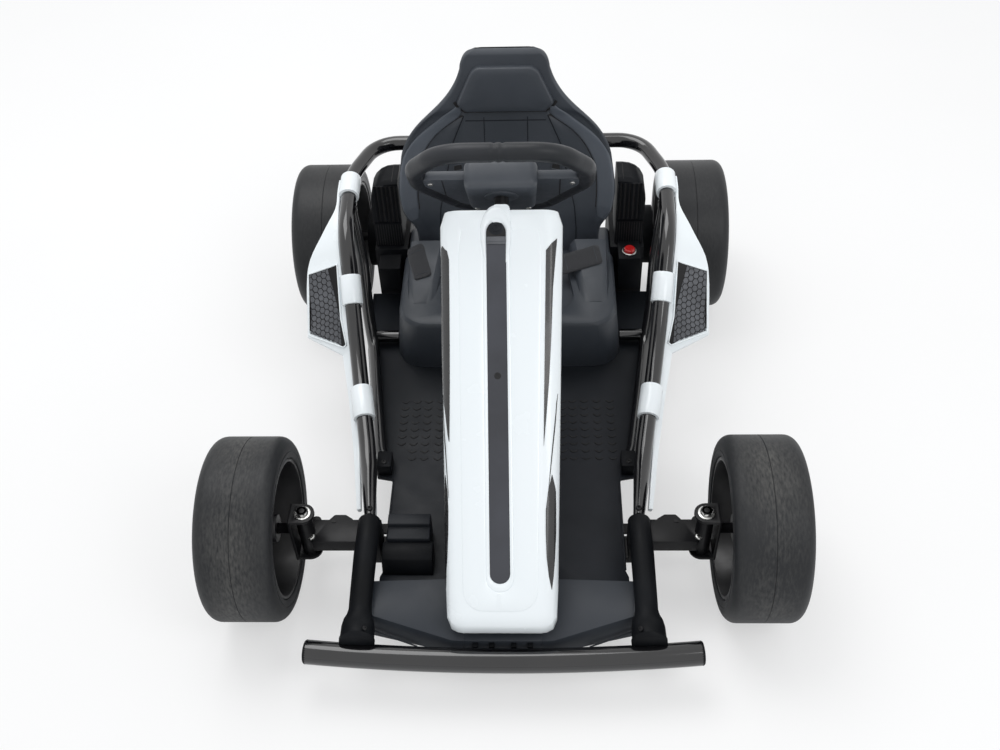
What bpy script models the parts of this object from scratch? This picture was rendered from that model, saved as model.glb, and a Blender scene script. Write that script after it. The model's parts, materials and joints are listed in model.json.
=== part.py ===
"""Electric drift kart for children: frame of bent tube, moulded body and bucket seat, four slick wheels.

Metres, +Z up. The kart faces -Y, and the driver's left is +X. All shapes are written in the front
axle's frame (y = 0 at the front axle, z = 0 on the ground), and one empty moves the whole kart so
that y = 0 is the middle of its length.
"""

from math import atan2, cos, hypot, pi, radians, sin, tan

import bmesh
import bpy
from mathutils import Matrix, Vector

# Clearances
SEAT_GAP = 0.0003        # between pieces that touch
PIN_GAP = 0.0003         # radial, between a pin and its bore
RUN_GAP = 0.0006         # side play of a turning wheel or knuckle

# Wheels
WHEELBASE = 0.526
TYRE_R = 0.105
TYRE_SHOULDER = 0.013
TYRE_BORE_R = 0.080
FRONT_TYRE_W = 0.084
REAR_TYRE_W = 0.089
FRONT_HALF_TRACK = 0.286
REAR_HALF_TRACK = 0.258
RIM_WALL = 0.0035
RIM_HUB_R = 0.019
RIM_WEB = 0.005
RIM_WINDOWS = 6
AXLE_R = 0.006

# Front axle and steering
KINGPIN_X = 0.226
KINGPIN_R = 0.004
SLEEVE_R = 0.0095
BEAM_TOP_Z = 0.0975
BEAM_H = 0.018
BEAM_Y0 = -0.0135
BEAM_Y1 = 0.0175
BEAM_DROP_X = 0.1420     # where the beam drops to pass below the floor pan
BEAM_DROP_LOW_Z = 0.0555
FLANGE_T = 0.0035
FLANGE_TOP_Z = 0.1330
FLANGE_LOW_Z = 0.0620
FLANGE_R = 0.0135
WEB_IN = 0.0125          # from the kingpin to the knuckle's web
WEB_T = 0.0030
STEER_ARM = 0.040
TIE_BAR_Z = 0.0480
TIE_BAR_T = 0.0040
TONGUE_Z = 0.0800        # the tie bar's tongue, bent up to the crank
TONGUE_HALF = 0.0140
CRANK_Y = -0.0800        # where the crank's pin passes through the tongue
CRANK_PIN_R = 0.0038
COLUMN_SLOPE = radians(37)
COLUMN_R = 0.008
STEER_CENTRE = (0.2800, 0.3843)   # y, z of the steering wheel's centre
STEER_W = 0.190          # steering wheel, centre to centre of its rim
STEER_H = 0.184
STEER_RIM_R = 0.0105
PAD_HALF = 0.0410        # moulded middle of the steering wheel
PAD_TOP = 0.0360
PAD_LOW = -0.0620
INFILL_TOP = 0.0190      # the closed lower part between the middle and the rim
HUB_DEPTH = 0.0220       # from the rim's plane down to the hub's seat on the column

# Frame
RAIL_R = 0.010
LOWER_RAIL_R = 0.008
BUMPER_R = 0.0133
BUMPER_HALF = 0.214
BUMPER_Y = -0.1400
BUMPER_BOW = 0.0100
BUMPER_Z = 0.0560
SLEEVE_END_Y = 0.0080
RAIL_FRONT_Z = 0.1100
HOOP_BACK = 0.2510       # the hoop's bar behind the seat, from the seat base's front
HOOP_Z = 0.2570
CLIP_WALL = 0.0035
CLIPS = ((0.1690, 0.0425), (0.3030, 0.0380), (0.4467, 0.0360))   # y of the middle, length
LOWER_RAIL_MEET_Y = 0.4180   # where the lower rail's rising end meets the side rail
STUB_BACK = 0.0480       # from the seat base's front to the short cross tubes between the lower rails and the seat base

# Floor and nose
PAN_Z = 0.0700           # top of the floor pan
PAN_T = 0.0045
PAN_FRONT_Y = -0.0850
PAN_HALF = 0.1380
NOTCH_HALF = 0.0420      # opening in pan and nose for the tie bar's tongue
NOSE_TOP_Z = 0.0785
NOSE_LOW_Z = 0.0440
NOSE_T = 0.0035

# Fairing
FAIR_FRONT = (-0.1150, 0.1080)    # y, z where its flat top starts
FAIR_REAR = (0.2350, 0.3745)
FAIR_WALL = 0.0030
FAIR_SKIRT = 0.0340
FAIR_HALF_FRONT = 0.0600
FAIR_HALF_REAR = 0.0690
FAIR_FLAT_FRONT = 0.0420
FAIR_FLAT_REAR = 0.0500
SLOT_SHIFT_FRONT = -0.0012   # the slot runs a little to the driver's right of the middle
SLOT_SHIFT_REAR = -0.0058
SLOT_HALF = 0.0110
WINDOW_T = 0.0020

# Seat
BASE_HALF = 0.1500        # at the floor, beside the cushion
BASE_TOP_HALF = 0.1420
BASE_REAR_HALF = 0.1400   # between the housings
BASE_AHEAD = 0.2360       # from the rear axle forward to the base's front
BASE_LENGTH = 0.2000
BASE_TOP_Z = 0.1500
BASE_WALL = 0.0040
CUSHION_Z = 0.1395
BOLSTER_KNEE = 0.0800    # where the bolsters start to rise, from the base's front
BATTERY = (0.1880, 0.1300, 0.0600)
PAD_T = 0.0080
BELT_BACK = 0.1080       # from the base's front
BELT_HALF = 0.0100
BELT_T = 0.0025

# Rear
HOUSING_WIDE = 0.0460     # from the seat base's side out
HOUSING_TOP_Z = 0.2560
HOUSING_ARCH_R = 0.0300
HOUSING_AHEAD = 0.0840   # of the rear axle
HOUSING_BEHIND = 0.0340
HOUSING_LONG = 0.0500    # front to back of the upper part
GEARBOX_R = 0.0420
BUTTON_Z = 0.1540
REAR_AXLE_HALF = 0.2980

BASE_FRONT_Y = WHEELBASE - BASE_AHEAD
BASE_REAR_Y = BASE_FRONT_Y + BASE_LENGTH
BELT_Y = BASE_FRONT_Y + BELT_BACK
STUB_Y = BASE_FRONT_Y + STUB_BACK
HOOP_Y = BASE_FRONT_Y + HOOP_BACK
HOUSING_OUT = BASE_REAR_HALF + HOUSING_WIDE
HOUSING_FRONT_Y = WHEELBASE - HOUSING_AHEAD
FRAME_Y = (BUMPER_Y - BUMPER_R + WHEELBASE + TYRE_R) / 2
BEAM_LOW_Z = BEAM_TOP_Z - BEAM_H
PAN_LOW_Z = PAN_Z - PAN_T
AXLE_Z = TYRE_R
COLUMN_DIR = Vector((0, cos(COLUMN_SLOPE), sin(COLUMN_SLOPE)))
WHEEL_UP = Vector((0, -sin(COLUMN_SLOPE), cos(COLUMN_SLOPE)))
CRANK_ALONG = ((CRANK_Y - STEER_CENTRE[0]) * cos(COLUMN_SLOPE)
               + (TONGUE_Z - STEER_CENTRE[1]) * sin(COLUMN_SLOPE))
CRANK_R = ((CRANK_Y - STEER_CENTRE[0]) * sin(COLUMN_SLOPE)
           - (TONGUE_Z - STEER_CENTRE[1]) * cos(COLUMN_SLOPE))
FAIR_SLOPE = atan2(FAIR_REAR[1] - FAIR_FRONT[1], FAIR_REAR[0] - FAIR_FRONT[0])
FAIR_LENGTH = hypot(FAIR_REAR[1] - FAIR_FRONT[1], FAIR_REAR[0] - FAIR_FRONT[0])


def clear_scene():
    for obj in list(bpy.data.objects):
        bpy.data.objects.remove(obj, do_unlink=True)


def material(name, colour, roughness, metallic=0.0):
    made = bpy.data.materials.new(name)
    made.use_nodes = True
    shader = made.node_tree.nodes["Principled BSDF"]
    shader.inputs["Base Color"].default_value = (*colour, 1)
    shader.inputs["Roughness"].default_value = roughness
    shader.inputs["Metallic"].default_value = metallic
    return made


def empty(name, location, parent=None):
    made = bpy.data.objects.new(name, None)
    made.location = location
    made.parent = parent
    bpy.context.collection.objects.link(made)
    return made


def solid(name, bm, look, parent, smooth=True, origin=(0, 0, 0)):
    """A named object from a bmesh whose points are in the kart's frame; origin is its joint's place."""
    bmesh.ops.recalc_face_normals(bm, faces=bm.faces)
    bmesh.ops.translate(bm, verts=bm.verts, vec=-Vector(origin))
    mesh = bpy.data.meshes.new(name)
    bm.to_mesh(mesh)
    bm.free()
    if smooth:
        mesh.shade_smooth()
        mesh.set_sharp_from_angle(angle=radians(35))
    made = bpy.data.objects.new(name, mesh)
    if look:
        mesh.materials.append(look)
    made.location = origin
    made.parent = parent
    bpy.context.collection.objects.link(made)
    return made


def helper(bm):
    """A loose object for a Boolean, in the kart's frame."""
    made = solid("helper", bm, None, KART)
    made.hide_render = True
    made.display_type = "WIRE"
    return made


def combine(target, bm, operation="UNION"):
    """Joins or cuts with the shape in bm, and keeps the result as the target's mesh."""
    other = helper(bm)
    change = target.modifiers.new(operation.title(), "BOOLEAN")
    change.operation = operation
    change.object = other
    bpy.context.view_layer.update()
    graph = bpy.context.evaluated_depsgraph_get()
    result = bpy.data.meshes.new_from_object(target.evaluated_get(graph))
    target.modifiers.remove(change)
    old = target.data
    target.data = result
    bpy.data.meshes.remove(old)
    bpy.data.objects.remove(other, do_unlink=True)


def split_sheet(bm):
    """Cuts each four-sided face from its inner front corner to its outer rear one."""
    for face in list(bm.faces):
        if len(face.verts) == 4:
            order = sorted(face.verts, key=lambda vert: (round(vert.co.y, 6), abs(vert.co.x)))
            far = order[3] if not bm.edges.get((order[0], order[3])) else order[2]
            if not bm.edges.get((order[0], far)):
                bmesh.ops.connect_verts(bm, verts=[order[0], far])


def skin(rings, cap=True, sheet=False):
    """A closed surface through rings of equally many points; a sheet's faces are all cut the same way."""
    bm = bmesh.new()
    rows = [[bm.verts.new(point) for point in ring] for ring in rings]
    for low, high in zip(rows, rows[1:]):
        for i in range(len(low)):
            j = (i + 1) % len(low)
            bm.faces.new((low[i], low[j], high[j], high[i]))
    if cap:
        bm.faces.new(rows[0][::-1])
        bm.faces.new(rows[-1])
    else:
        for i in range(len(rows[0])):
            j = (i + 1) % len(rows[0])
            bm.faces.new((rows[-1][i], rows[-1][j], rows[0][j], rows[0][i]))
    if sheet:
        split_sheet(bm)
    bmesh.ops.connect_verts_nonplanar(bm, angle_limit=0.0005, faces=bm.faces)
    return bm


def sweep(path, radius, sides=12, flat=None):
    """A round bar along the path; flat gives (width factor, height factor) at each point."""
    path = [Vector(point) for point in path]
    tangents = []
    for i in range(len(path)):
        ahead = path[min(i + 1, len(path) - 1)]
        behind = path[max(i - 1, 0)]
        tangents.append((ahead - behind).normalized())
    side = tangents[0].cross(Vector((0, 0, 1)))
    if side.length < 0.01:
        side = tangents[0].cross(Vector((0, 1, 0)))
    side.normalize()
    rings = []
    for i, (point, tangent) in enumerate(zip(path, tangents)):
        side = (side - tangent * side.dot(tangent)).normalized()
        up = side.cross(tangent)
        wide, high = flat[i] if flat else (1, 1)
        rings.append([
            point + radius * (wide * cos(2 * pi * k / sides) * side + high * sin(2 * pi * k / sides) * up)
            for k in range(sides)
        ])
    return skin(rings)


def closed_sweep(path, radius, normal, sides=12):
    """A round bar along a closed plane path."""
    path = [Vector(point) for point in path]
    count = len(path)
    rings = []
    for i, point in enumerate(path):
        tangent = (path[(i + 1) % count] - path[i - 1]).normalized()
        side = tangent.cross(normal).normalized()
        rings.append([
            point + radius * (cos(2 * pi * k / sides) * side + sin(2 * pi * k / sides) * normal)
            for k in range(sides)
        ])
    return skin(rings, cap=False)


def rounded(corners, radii, steps=5, closed=False):
    """The path through the corners with each inner corner turned into an arc."""
    corners = [Vector(corner) for corner in corners]
    count = len(corners)
    path = []
    for i, corner in enumerate(corners):
        if not closed and i in (0, count - 1):
            path.append(corner)
            continue
        back = (corners[i - 1] - corner).normalized()
        ahead = (corners[(i + 1) % count] - corner).normalized()
        radius = radii[i] if isinstance(radii, (list, tuple)) else radii
        turn = back.angle(ahead)
        if radius <= 0 or abs(turn - pi) < 1e-4:
            path.append(corner)
            continue
        reach = radius / tan(turn / 2)
        centre = corner + (back + ahead).normalized() * radius / sin(turn / 2)
        start = (corner + back * reach - centre).normalized()
        end = (corner + ahead * reach - centre).normalized()
        for k in range(steps + 1):
            path.append(centre + radius * start.slerp(end, k / steps))
    return path


def plate(outline, thickness, at=Matrix.Identity(4)):
    """An outline in the plane z = 0 of `at`, extruded from 0 to thickness along that z."""
    low = [at @ Vector((point[0], point[1], 0)) for point in outline]
    high = [at @ Vector((point[0], point[1], thickness)) for point in outline]
    return skin([low, high])


def box(low, high):
    low, high = Vector(low), Vector(high)
    outline = [(low.x, low.y), (high.x, low.y), (high.x, high.y), (low.x, high.y)]
    return plate(outline, high.z - low.z, Matrix.Translation((0, 0, low.z)))


def bar(start, end, radius, sides=20):
    return sweep([start, end], radius, sides)


def turned(profile, centre, sides=48):
    """A closed profile of (x, radius) points turned about the X axis through centre."""
    centre = Vector(centre)
    rings = []
    for k in range(sides):
        angle = 2 * pi * k / sides
        rings.append([
            centre + Vector((x, radius * cos(angle), radius * sin(angle))) for x, radius in profile
        ])
    return skin(rings, cap=False)


def rounded_outline(corners, radii, steps=4):
    """A closed plane outline with round corners, as (x, y) pairs."""
    return [(point.x, point.y) for point in rounded([(*c, 0) for c in corners], radii, steps, closed=True)]


def mirrored(points, side):
    """Points written for the driver's left (+X), or their mirror images in reverse order."""
    return [Vector((side * p[0], p[1], p[2])) for p in points]


clear_scene()
KART = empty("kart", (0, -FRAME_Y, 0))
GLOSS_TUBE = material("gloss_black_tube", (0.012, 0.012, 0.014), 0.16, 0.3)
MATT_BLACK = material("matt_black_plastic", (0.028, 0.029, 0.032), 0.55)
SATIN_BLACK = material("satin_black_plastic", (0.032, 0.034, 0.039), 0.42)
STEEL_BLACK = material("black_steel", (0.030, 0.030, 0.031), 0.45, 0.4)
TYRE_BLACK = material("tyre_black", (0.026, 0.026, 0.028), 0.62)
RIM_BLACK = material("rim_black", (0.014, 0.014, 0.016), 0.35)
WHITE = material("white_gloss_plastic", (0.83, 0.85, 0.87), 0.22)
SMOKED = material("smoked_window", (0.035, 0.037, 0.044), 0.15)
GREY = material("grey_insert", (0.11, 0.115, 0.125), 0.5)
WEBBING = material("black_webbing", (0.020, 0.020, 0.022), 0.8)
RED = material("red_button", (0.65, 0.02, 0.02), 0.3)
BATTERY_CASE = material("battery_case", (0.05, 0.05, 0.055), 0.6)

SIDES = (("left", 1), ("right", -1))


# Wheels
def tyre(name, centre, width, parent):
    half = width / 2
    shoulder = [(half - TYRE_SHOULDER * (1 - cos(a)), TYRE_R - TYRE_SHOULDER * (1 - sin(a)))
                for a in (0, pi / 8, pi / 4, 3 * pi / 8, pi / 2)]
    bead = [(half - 0.003, TYRE_BORE_R), (half, TYRE_BORE_R + 0.004)]
    right = bead + shoulder
    profile = right + [(-x, r) for x, r in reversed(right)]
    return solid(name, turned(profile, centre, 48), TYRE_BLACK, parent, origin=centre)


def rim(name, side, centre, width, parent, axle_r):
    """Barrel, dished web with windows near the outer side, and a hub with the axle's bore."""
    outer_r = TYRE_BORE_R - SEAT_GAP
    inner_r = outer_r - RIM_WALL
    half = width / 2 - 0.002
    bore_r = axle_r + PIN_GAP
    web0, web1 = half - 0.016, half - 0.016 + RIM_WEB
    hub0, hub1 = -half + 0.012, half - 0.004
    profile = [(-half, outer_r), (half, outer_r), (half, inner_r), (web1 + 0.004, inner_r),
               (web1, RIM_HUB_R + 0.006), (hub1, RIM_HUB_R), (hub1, bore_r), (hub0, bore_r),
               (hub0, RIM_HUB_R - 0.003), (web0, RIM_HUB_R), (web0 + 0.004, inner_r), (-half, inner_r)]
    made = solid(name, turned([(side * x, r) for x, r in profile], centre, 36), RIM_BLACK, parent,
                 origin=centre)
    for k in range(RIM_WINDOWS):
        window = rounded_outline([(-0.007, 0.031), (0.007, 0.031), (0.021, 0.065), (-0.021, 0.065)], 0.005, 3)
        at = (Matrix.Translation(Vector(centre) + Vector((side * web0 - 0.02, 0, 0)))
              @ Matrix.Rotation(2 * pi * k / RIM_WINDOWS, 4, "X") @ Matrix.Rotation(pi / 2, 4, "Y"))
        combine(made, plate(window, 0.04, at), "DIFFERENCE")
    return made


# Front axle, knuckles and steering
def front_beam():
    """Beam with a dropped middle below the floor, kingpin sleeves and the two raised ears."""
    end_x = KINGPIN_X - SLEEVE_R + 0.002
    step_x = BEAM_DROP_X + 0.010
    drop_top = PAN_LOW_Z - SEAT_GAP
    outline = [(end_x, BEAM_LOW_Z), (end_x, BEAM_TOP_Z), (BEAM_DROP_X, BEAM_TOP_Z), (BEAM_DROP_X, drop_top)]
    outline += [(-x, z) for x, z in reversed(outline)]
    outline += [(-step_x, BEAM_LOW_Z), (-step_x, BEAM_DROP_LOW_Z), (step_x, BEAM_DROP_LOW_Z),
                (step_x, BEAM_LOW_Z)]
    upright = Matrix.Translation((0, BEAM_Y1, 0)) @ Matrix.Rotation(pi / 2, 4, "X")
    made = solid("front_axle_beam", plate(outline, BEAM_Y1 - BEAM_Y0, upright), STEEL_BLACK, KART)
    for name, side in SIDES:
        low = (side * KINGPIN_X, 0, FLANGE_LOW_Z + FLANGE_T + RUN_GAP)
        high = (side * KINGPIN_X, 0, FLANGE_TOP_Z - FLANGE_T - RUN_GAP)
        combine(made, bar(low, high, SLEEVE_R, 24))
        below, above = Vector(low) - Vector((0, 0, 0.01)), Vector(high) + Vector((0, 0, 0.01))
        combine(made, bar(below, above, KINGPIN_R + PIN_GAP, 16), "DIFFERENCE")
        ear = rounded_outline([(side * 0.168, BEAM_Y1 - 0.004), (side * 0.206, BEAM_Y1 - 0.004),
                               (side * 0.197, BEAM_Y1 + 0.007), (side * 0.184, BEAM_Y1 + 0.007)], 0.003)
        combine(made, plate(ear, 0.0025, Matrix.Translation((0, 0, BEAM_TOP_Z - 0.0025))))
    return made


def knuckle(name, side, parent):
    """U bracket with its kingpin, stub axle and steering arm."""
    pivot = Vector((side * KINGPIN_X, 0, 0))
    web0, web1 = pivot.x + side * WEB_IN, pivot.x + side * (WEB_IN + WEB_T)
    made = solid(name, box((min(web0, web1), -0.014, FLANGE_LOW_Z), (max(web0, web1), 0.014, FLANGE_TOP_Z)),
                 STEEL_BLACK, parent, origin=(pivot.x, 0, AXLE_Z))
    for z in (FLANGE_LOW_Z, FLANGE_TOP_Z - FLANGE_T):
        tongue = [(pivot.x + side * (WEB_IN + WEB_T / 2), -0.0135)]
        tongue += [(pivot.x - side * FLANGE_R * sin(a), -FLANGE_R * cos(a)) for a in
                   [pi * k / 12 for k in range(13)]]
        tongue += [(pivot.x + side * (WEB_IN + WEB_T / 2), 0.0135)]
        combine(made, plate(tongue, FLANGE_T, Matrix.Translation((0, 0, z))))
    head = 0.005
    combine(made, bar((pivot.x, 0, FLANGE_LOW_Z - head), (pivot.x, 0, FLANGE_TOP_Z + head), KINGPIN_R, 16))
    for z in (FLANGE_LOW_Z - head, FLANGE_TOP_Z - 0.0005):
        combine(made, bar((pivot.x, 0, z), (pivot.x, 0, z + head + 0.0005), 0.0070, 6))
    tip = side * (FRONT_HALF_TRACK + FRONT_TYRE_W / 2 - 0.004)
    combine(made, bar((web0 + side * WEB_T / 2, 0, AXLE_Z), (tip, 0, AXLE_Z), AXLE_R, 24))
    arm = [(pivot.x + side * a, y) for a, y in ((-0.008, 0.004), (0.008, 0.004), (0.0065, STEER_ARM))]
    arm += [(pivot.x + side * 0.0065 * cos(a), STEER_ARM + 0.0065 * sin(a)) for a in
            [pi * k / 8 for k in range(1, 8)]]
    arm += [(pivot.x - side * 0.0065, STEER_ARM)]
    combine(made, plate(arm, FLANGE_T, Matrix.Translation((0, 0, FLANGE_LOW_Z))))
    pin_low = TIE_BAR_Z - TIE_BAR_T / 2 - 0.003
    combine(made, bar((pivot.x, STEER_ARM, pin_low), (pivot.x, STEER_ARM, FLANGE_LOW_Z + FLANGE_T / 2),
                      0.0030, 12))
    return made


def tie_bar(parent):
    """Flat bar between the steering arms; its tongue is bent up and its slot takes the column's crank."""
    low = TIE_BAR_Z - TIE_BAR_T / 2
    high = TONGUE_Z - TIE_BAR_T / 2
    x = KINGPIN_X
    made = solid("tie_bar", plate(rounded_outline(
        [(-x - 0.008, STEER_ARM - 0.0065), (x + 0.008, STEER_ARM - 0.0065),
         (x + 0.008, STEER_ARM + 0.0065), (-x - 0.008, STEER_ARM + 0.0065)], 0.006), TIE_BAR_T,
        Matrix.Translation((0, 0, low))), STEEL_BLACK, parent, origin=(x, STEER_ARM, TIE_BAR_Z))
    tip = CRANK_Y - 0.0260
    profile = [(STEER_ARM, low), (-0.0205, low), (-0.0600, high), (tip, high), (tip, high + TIE_BAR_T),
               (-0.0615, high + TIE_BAR_T), (-0.0220, low + TIE_BAR_T), (STEER_ARM, low + TIE_BAR_T)]
    combine(made, skin([[(side * TONGUE_HALF, y, z) for y, z in profile] for side in (-1, 1)]))
    slot = rounded_outline([(-0.0048, CRANK_Y - 0.0190), (0.0048, CRANK_Y - 0.0190),
                            (0.0048, CRANK_Y + 0.0115), (-0.0048, CRANK_Y + 0.0115)], 0.002, 2)
    combine(made, plate(slot, 0.02, Matrix.Translation((0, 0, high - 0.01))), "DIFFERENCE")
    for side in (1, -1):
        combine(made, bar((side * x, STEER_ARM, low - 0.01), (side * x, STEER_ARM, low + 0.02),
                          0.0030 + PIN_GAP, 12), "DIFFERENCE")
    return made


def column_point(along, up=0.0, across=0.0):
    """A point from the steering wheel's centre: along the column, up in the wheel's plane, across."""
    return Vector((0, *STEER_CENTRE)) + COLUMN_DIR * along + WHEEL_UP * up + Vector((across, 0, 0))


def steering_column(parent):
    """Shaft with a crank at its lower end; the crank's pin is parallel to the shaft."""
    arm_along = CRANK_ALONG + 0.020
    shaft = bar(column_point(arm_along - 0.004), column_point(-HUB_DEPTH - SEAT_GAP), COLUMN_R, 16)
    made = solid("steering_column", shaft, STEEL_BLACK, parent, origin=column_point(0))
    combine(made, bar(column_point(arm_along), column_point(arm_along, -CRANK_R), 0.0048, 12))
    combine(made, bar(column_point(arm_along + 0.003, -CRANK_R), column_point(CRANK_ALONG - 0.012, -CRANK_R),
                      CRANK_PIN_R, 12))
    return made


def steering_wheel(parent):
    """Rim with a long top and a short bottom, closed in its lower part, with a thick middle and a hub."""
    def at(across, up, along=0.0):
        return column_point(along, up, across)
    half_w, half_h = STEER_W / 2, STEER_H / 2
    corners = [(half_w, 0.42 * half_h), (0.66 * half_w, half_h), (-0.66 * half_w, half_h),
               (-half_w, 0.42 * half_h), (-half_w, -0.06 * half_h), (-0.50 * half_w, -half_h),
               (0.50 * half_w, -half_h), (half_w, -0.06 * half_h)]
    radii = [0.032, 0.050, 0.050, 0.032, 0.030, 0.030, 0.030, 0.030]
    path = rounded([(*corner, 0) for corner in corners], radii, 6, closed=True)
    path = [at(point.x, point.y) for point in path]
    made = solid("steering_wheel", closed_sweep(path, STEER_RIM_R, COLUMN_DIR, 12), SATIN_BLACK, parent,
                 origin=column_point(0))
    infill = [(0.97 * half_w, INFILL_TOP), (0.99 * half_w, -0.07 * half_h), (0.50 * half_w, -0.99 * half_h)]
    infill += [(-x, y) for x, y in reversed(infill)]
    combine(made, skin([[at(x, y, d) for x, y in infill] for d in (-0.0060, 0.0020)]))
    rings = []
    for inset, d in ((0.0030, -0.0120), (0.0, -0.0090), (0.0, 0.0040), (0.0040, 0.0070)):
        x, top, low = PAD_HALF - inset, PAD_TOP - inset, PAD_LOW + inset
        rings.append([at(x, low + 0.010, d), at(x, top - 0.008, d), at(x - 0.008, top, d), at(-x + 0.008, top, d),
                      at(-x, top - 0.008, d), at(-x, low + 0.010, d), at(-x + 0.010, low, d), at(x - 0.010, low, d)])
    combine(made, skin(rings))
    combine(made, bar(at(0, 0, -HUB_DEPTH), at(0, 0, -0.0100), 0.0190, 24))
    return made


# Frame
def rail_half(side):
    """Side rail from the front sleeve back and up, then round behind the seat to the middle."""
    return [(side * x, y, z) for x, y, z in (
        (0.1530, SLEEVE_END_Y + SEAT_GAP + RAIL_R * 0.12, RAIL_FRONT_Z), (0.1640, 0.1000, 0.1120),
        (0.1880, BASE_FRONT_Y - 0.0500, 0.1500), (0.2060, BASE_FRONT_Y + 0.0750, 0.2440),
        (0.2095, BASE_FRONT_Y + 0.1780, 0.2540), (0.1800, HOOP_Y, HOOP_Z))]


def rail_path():
    bends = [0, 0.20, 0.30, 0.10, 0.12, 0.045, 0.045, 0.12, 0.10, 0.30, 0.20, 0]
    return rounded(rail_half(1) + rail_half(-1)[::-1], bends, 3)


def hoop_rail():
    return solid("hoop_rail", sweep(rail_path(), RAIL_R, 12), GLOSS_TUBE, KART)


def rail_cutter():
    """The rail with its clearance, for whatever is seated on it."""
    return sweep(rail_path(), RAIL_R + SEAT_GAP, 12)


def rail_at(y, side):
    """Centre and direction of the side rail at y."""
    path = rail_path()
    half = [point for point in path if point.x * side > 0]
    half.sort(key=lambda point: point.y)
    for low, high in zip(half, half[1:]):
        if low.y <= y <= high.y:
            share = (y - low.y) / (high.y - low.y)
            return low.lerp(high, share), (high - low).normalized()
    return half[-1], (half[-1] - half[-2]).normalized()


def lower_rail(name, side):
    """Floor rail with its front block, rising at the rear to the side rail; a stub goes to the seat base."""
    z = PAN_Z + SEAT_GAP + LOWER_RAIL_R
    meet = rail_at(LOWER_RAIL_MEET_Y, side)[0] - Vector((side * 0.0020, 0, 0))
    points = mirrored([(0.1490, 0.1160, z), (0.1560, 0.1390, z), (0.1840, 0.3260, z),
                       (0.1915, 0.3560, 0.1000), (0.1960, 0.3940, 0.1700)], side) + [meet]
    made = solid(name, sweep(rounded(points, [0, 0.05, 0.04, 0.10, 0.10, 0], 3), LOWER_RAIL_R, 12),
                 GLOSS_TUBE, KART)
    x0, x1 = sorted((side * 0.1400, side * 0.1580))
    combine(made, box((x0, 0.1040, PAN_Z + SEAT_GAP), (x1, 0.1290, PAN_Z + 0.0180)))
    inner = side * (BASE_HALF - 0.0001)
    combine(made, bar((inner, STUB_Y, z + 0.004), (side * 0.1860, STUB_Y, z + 0.004), LOWER_RAIL_R, 12))
    combine(made, rail_cutter(), "DIFFERENCE")
    combine(made, box((-0.3, STUB_Y - 0.05, 0), (0.3, STUB_Y + 0.03, PAN_Z + SEAT_GAP)), "DIFFERENCE")
    return made


def bumper_solid(extra=0.0):
    steps = 12
    path = []
    for k in range(steps + 1):
        t = 2 * k / steps - 1
        path.append((t * BUMPER_HALF, BUMPER_Y + BUMPER_BOW * t * t, BUMPER_Z))
    return sweep(path, BUMPER_R + extra, 16)


def bumper():
    return solid("bumper", bumper_solid(), GLOSS_TUBE, KART)


def front_sleeve(name, side):
    """Moulded sleeve from the beam down to the bumper, with a flared foot."""
    rows = ((0.1530, SLEEVE_END_Y, RAIL_FRONT_Z, 0.0125), (0.1545, -0.0350, 0.1030, 0.0130),
            (0.1560, -0.0850, 0.0880, 0.0125), (0.1560, -0.0980, 0.0830, 0.0130),
            (0.1570, -0.1080, 0.0790, 0.0180), (0.1580, -0.1270, 0.0690, 0.0190))
    rings = []
    for x, y, z, r in rows:
        rings.append([(side * x + r * cos(2 * pi * k / 16), y, z + r * 0.95 * sin(2 * pi * k / 16))
                      for k in range(16)])
    made = solid(name, skin(rings), MATT_BLACK, KART)
    combine(made, bumper_solid(SEAT_GAP), "DIFFERENCE")
    combine(made, box((-0.3, BEAM_Y0 - SEAT_GAP, 0.05), (0.3, BEAM_Y1 + SEAT_GAP, BEAM_TOP_Z + SEAT_GAP)),
            "DIFFERENCE")
    return made


# Floor and nose
def floor_pan():
    """Floor plate: open at the front for the tongue, wide beside the seat, narrow below it."""
    wide_end = HOUSING_FRONT_Y - 0.0020
    half = [(NOTCH_HALF, PAN_FRONT_Y), (0.1240, PAN_FRONT_Y), (0.1412, -0.0700), (0.1412, -0.0420),
            (PAN_HALF, -0.0340), (PAN_HALF, 0.0980), (0.1580, 0.1020), (0.1650, 0.1390),
            (0.1930, wide_end - 0.1160), (0.1970, wide_end - 0.0800), (0.1970, wide_end),
            (BASE_REAR_HALF, wide_end), (BASE_REAR_HALF, BASE_REAR_Y)]
    notch = [(-NOTCH_HALF, PAN_FRONT_Y), (-NOTCH_HALF, -0.0220), (NOTCH_HALF, -0.0220)]
    outline = half + [(-x, y) for x, y in reversed(half)] + notch[1:]
    return solid("floor_pan", plate(outline, PAN_T, Matrix.Translation((0, 0, PAN_LOW_Z))), SATIN_BLACK, KART,
                 smooth=False)


def nose_ring(inset, z, forward=0.0):
    """Plan of the nose on the level z, moved in by inset; its front edge stands forward by this much."""
    half = [(0.1480 - inset, -0.0500 - inset), (0.1430 - inset, -0.0980 + inset * 0.5 - forward),
            (0.0540 - inset * 0.3, -0.1170 + inset - forward), (0.0, -0.1180 + inset - forward)]
    return [(x, y, z) for x, y in half] + [(-x, y, z) for x, y in reversed(half[:-1])]


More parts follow.
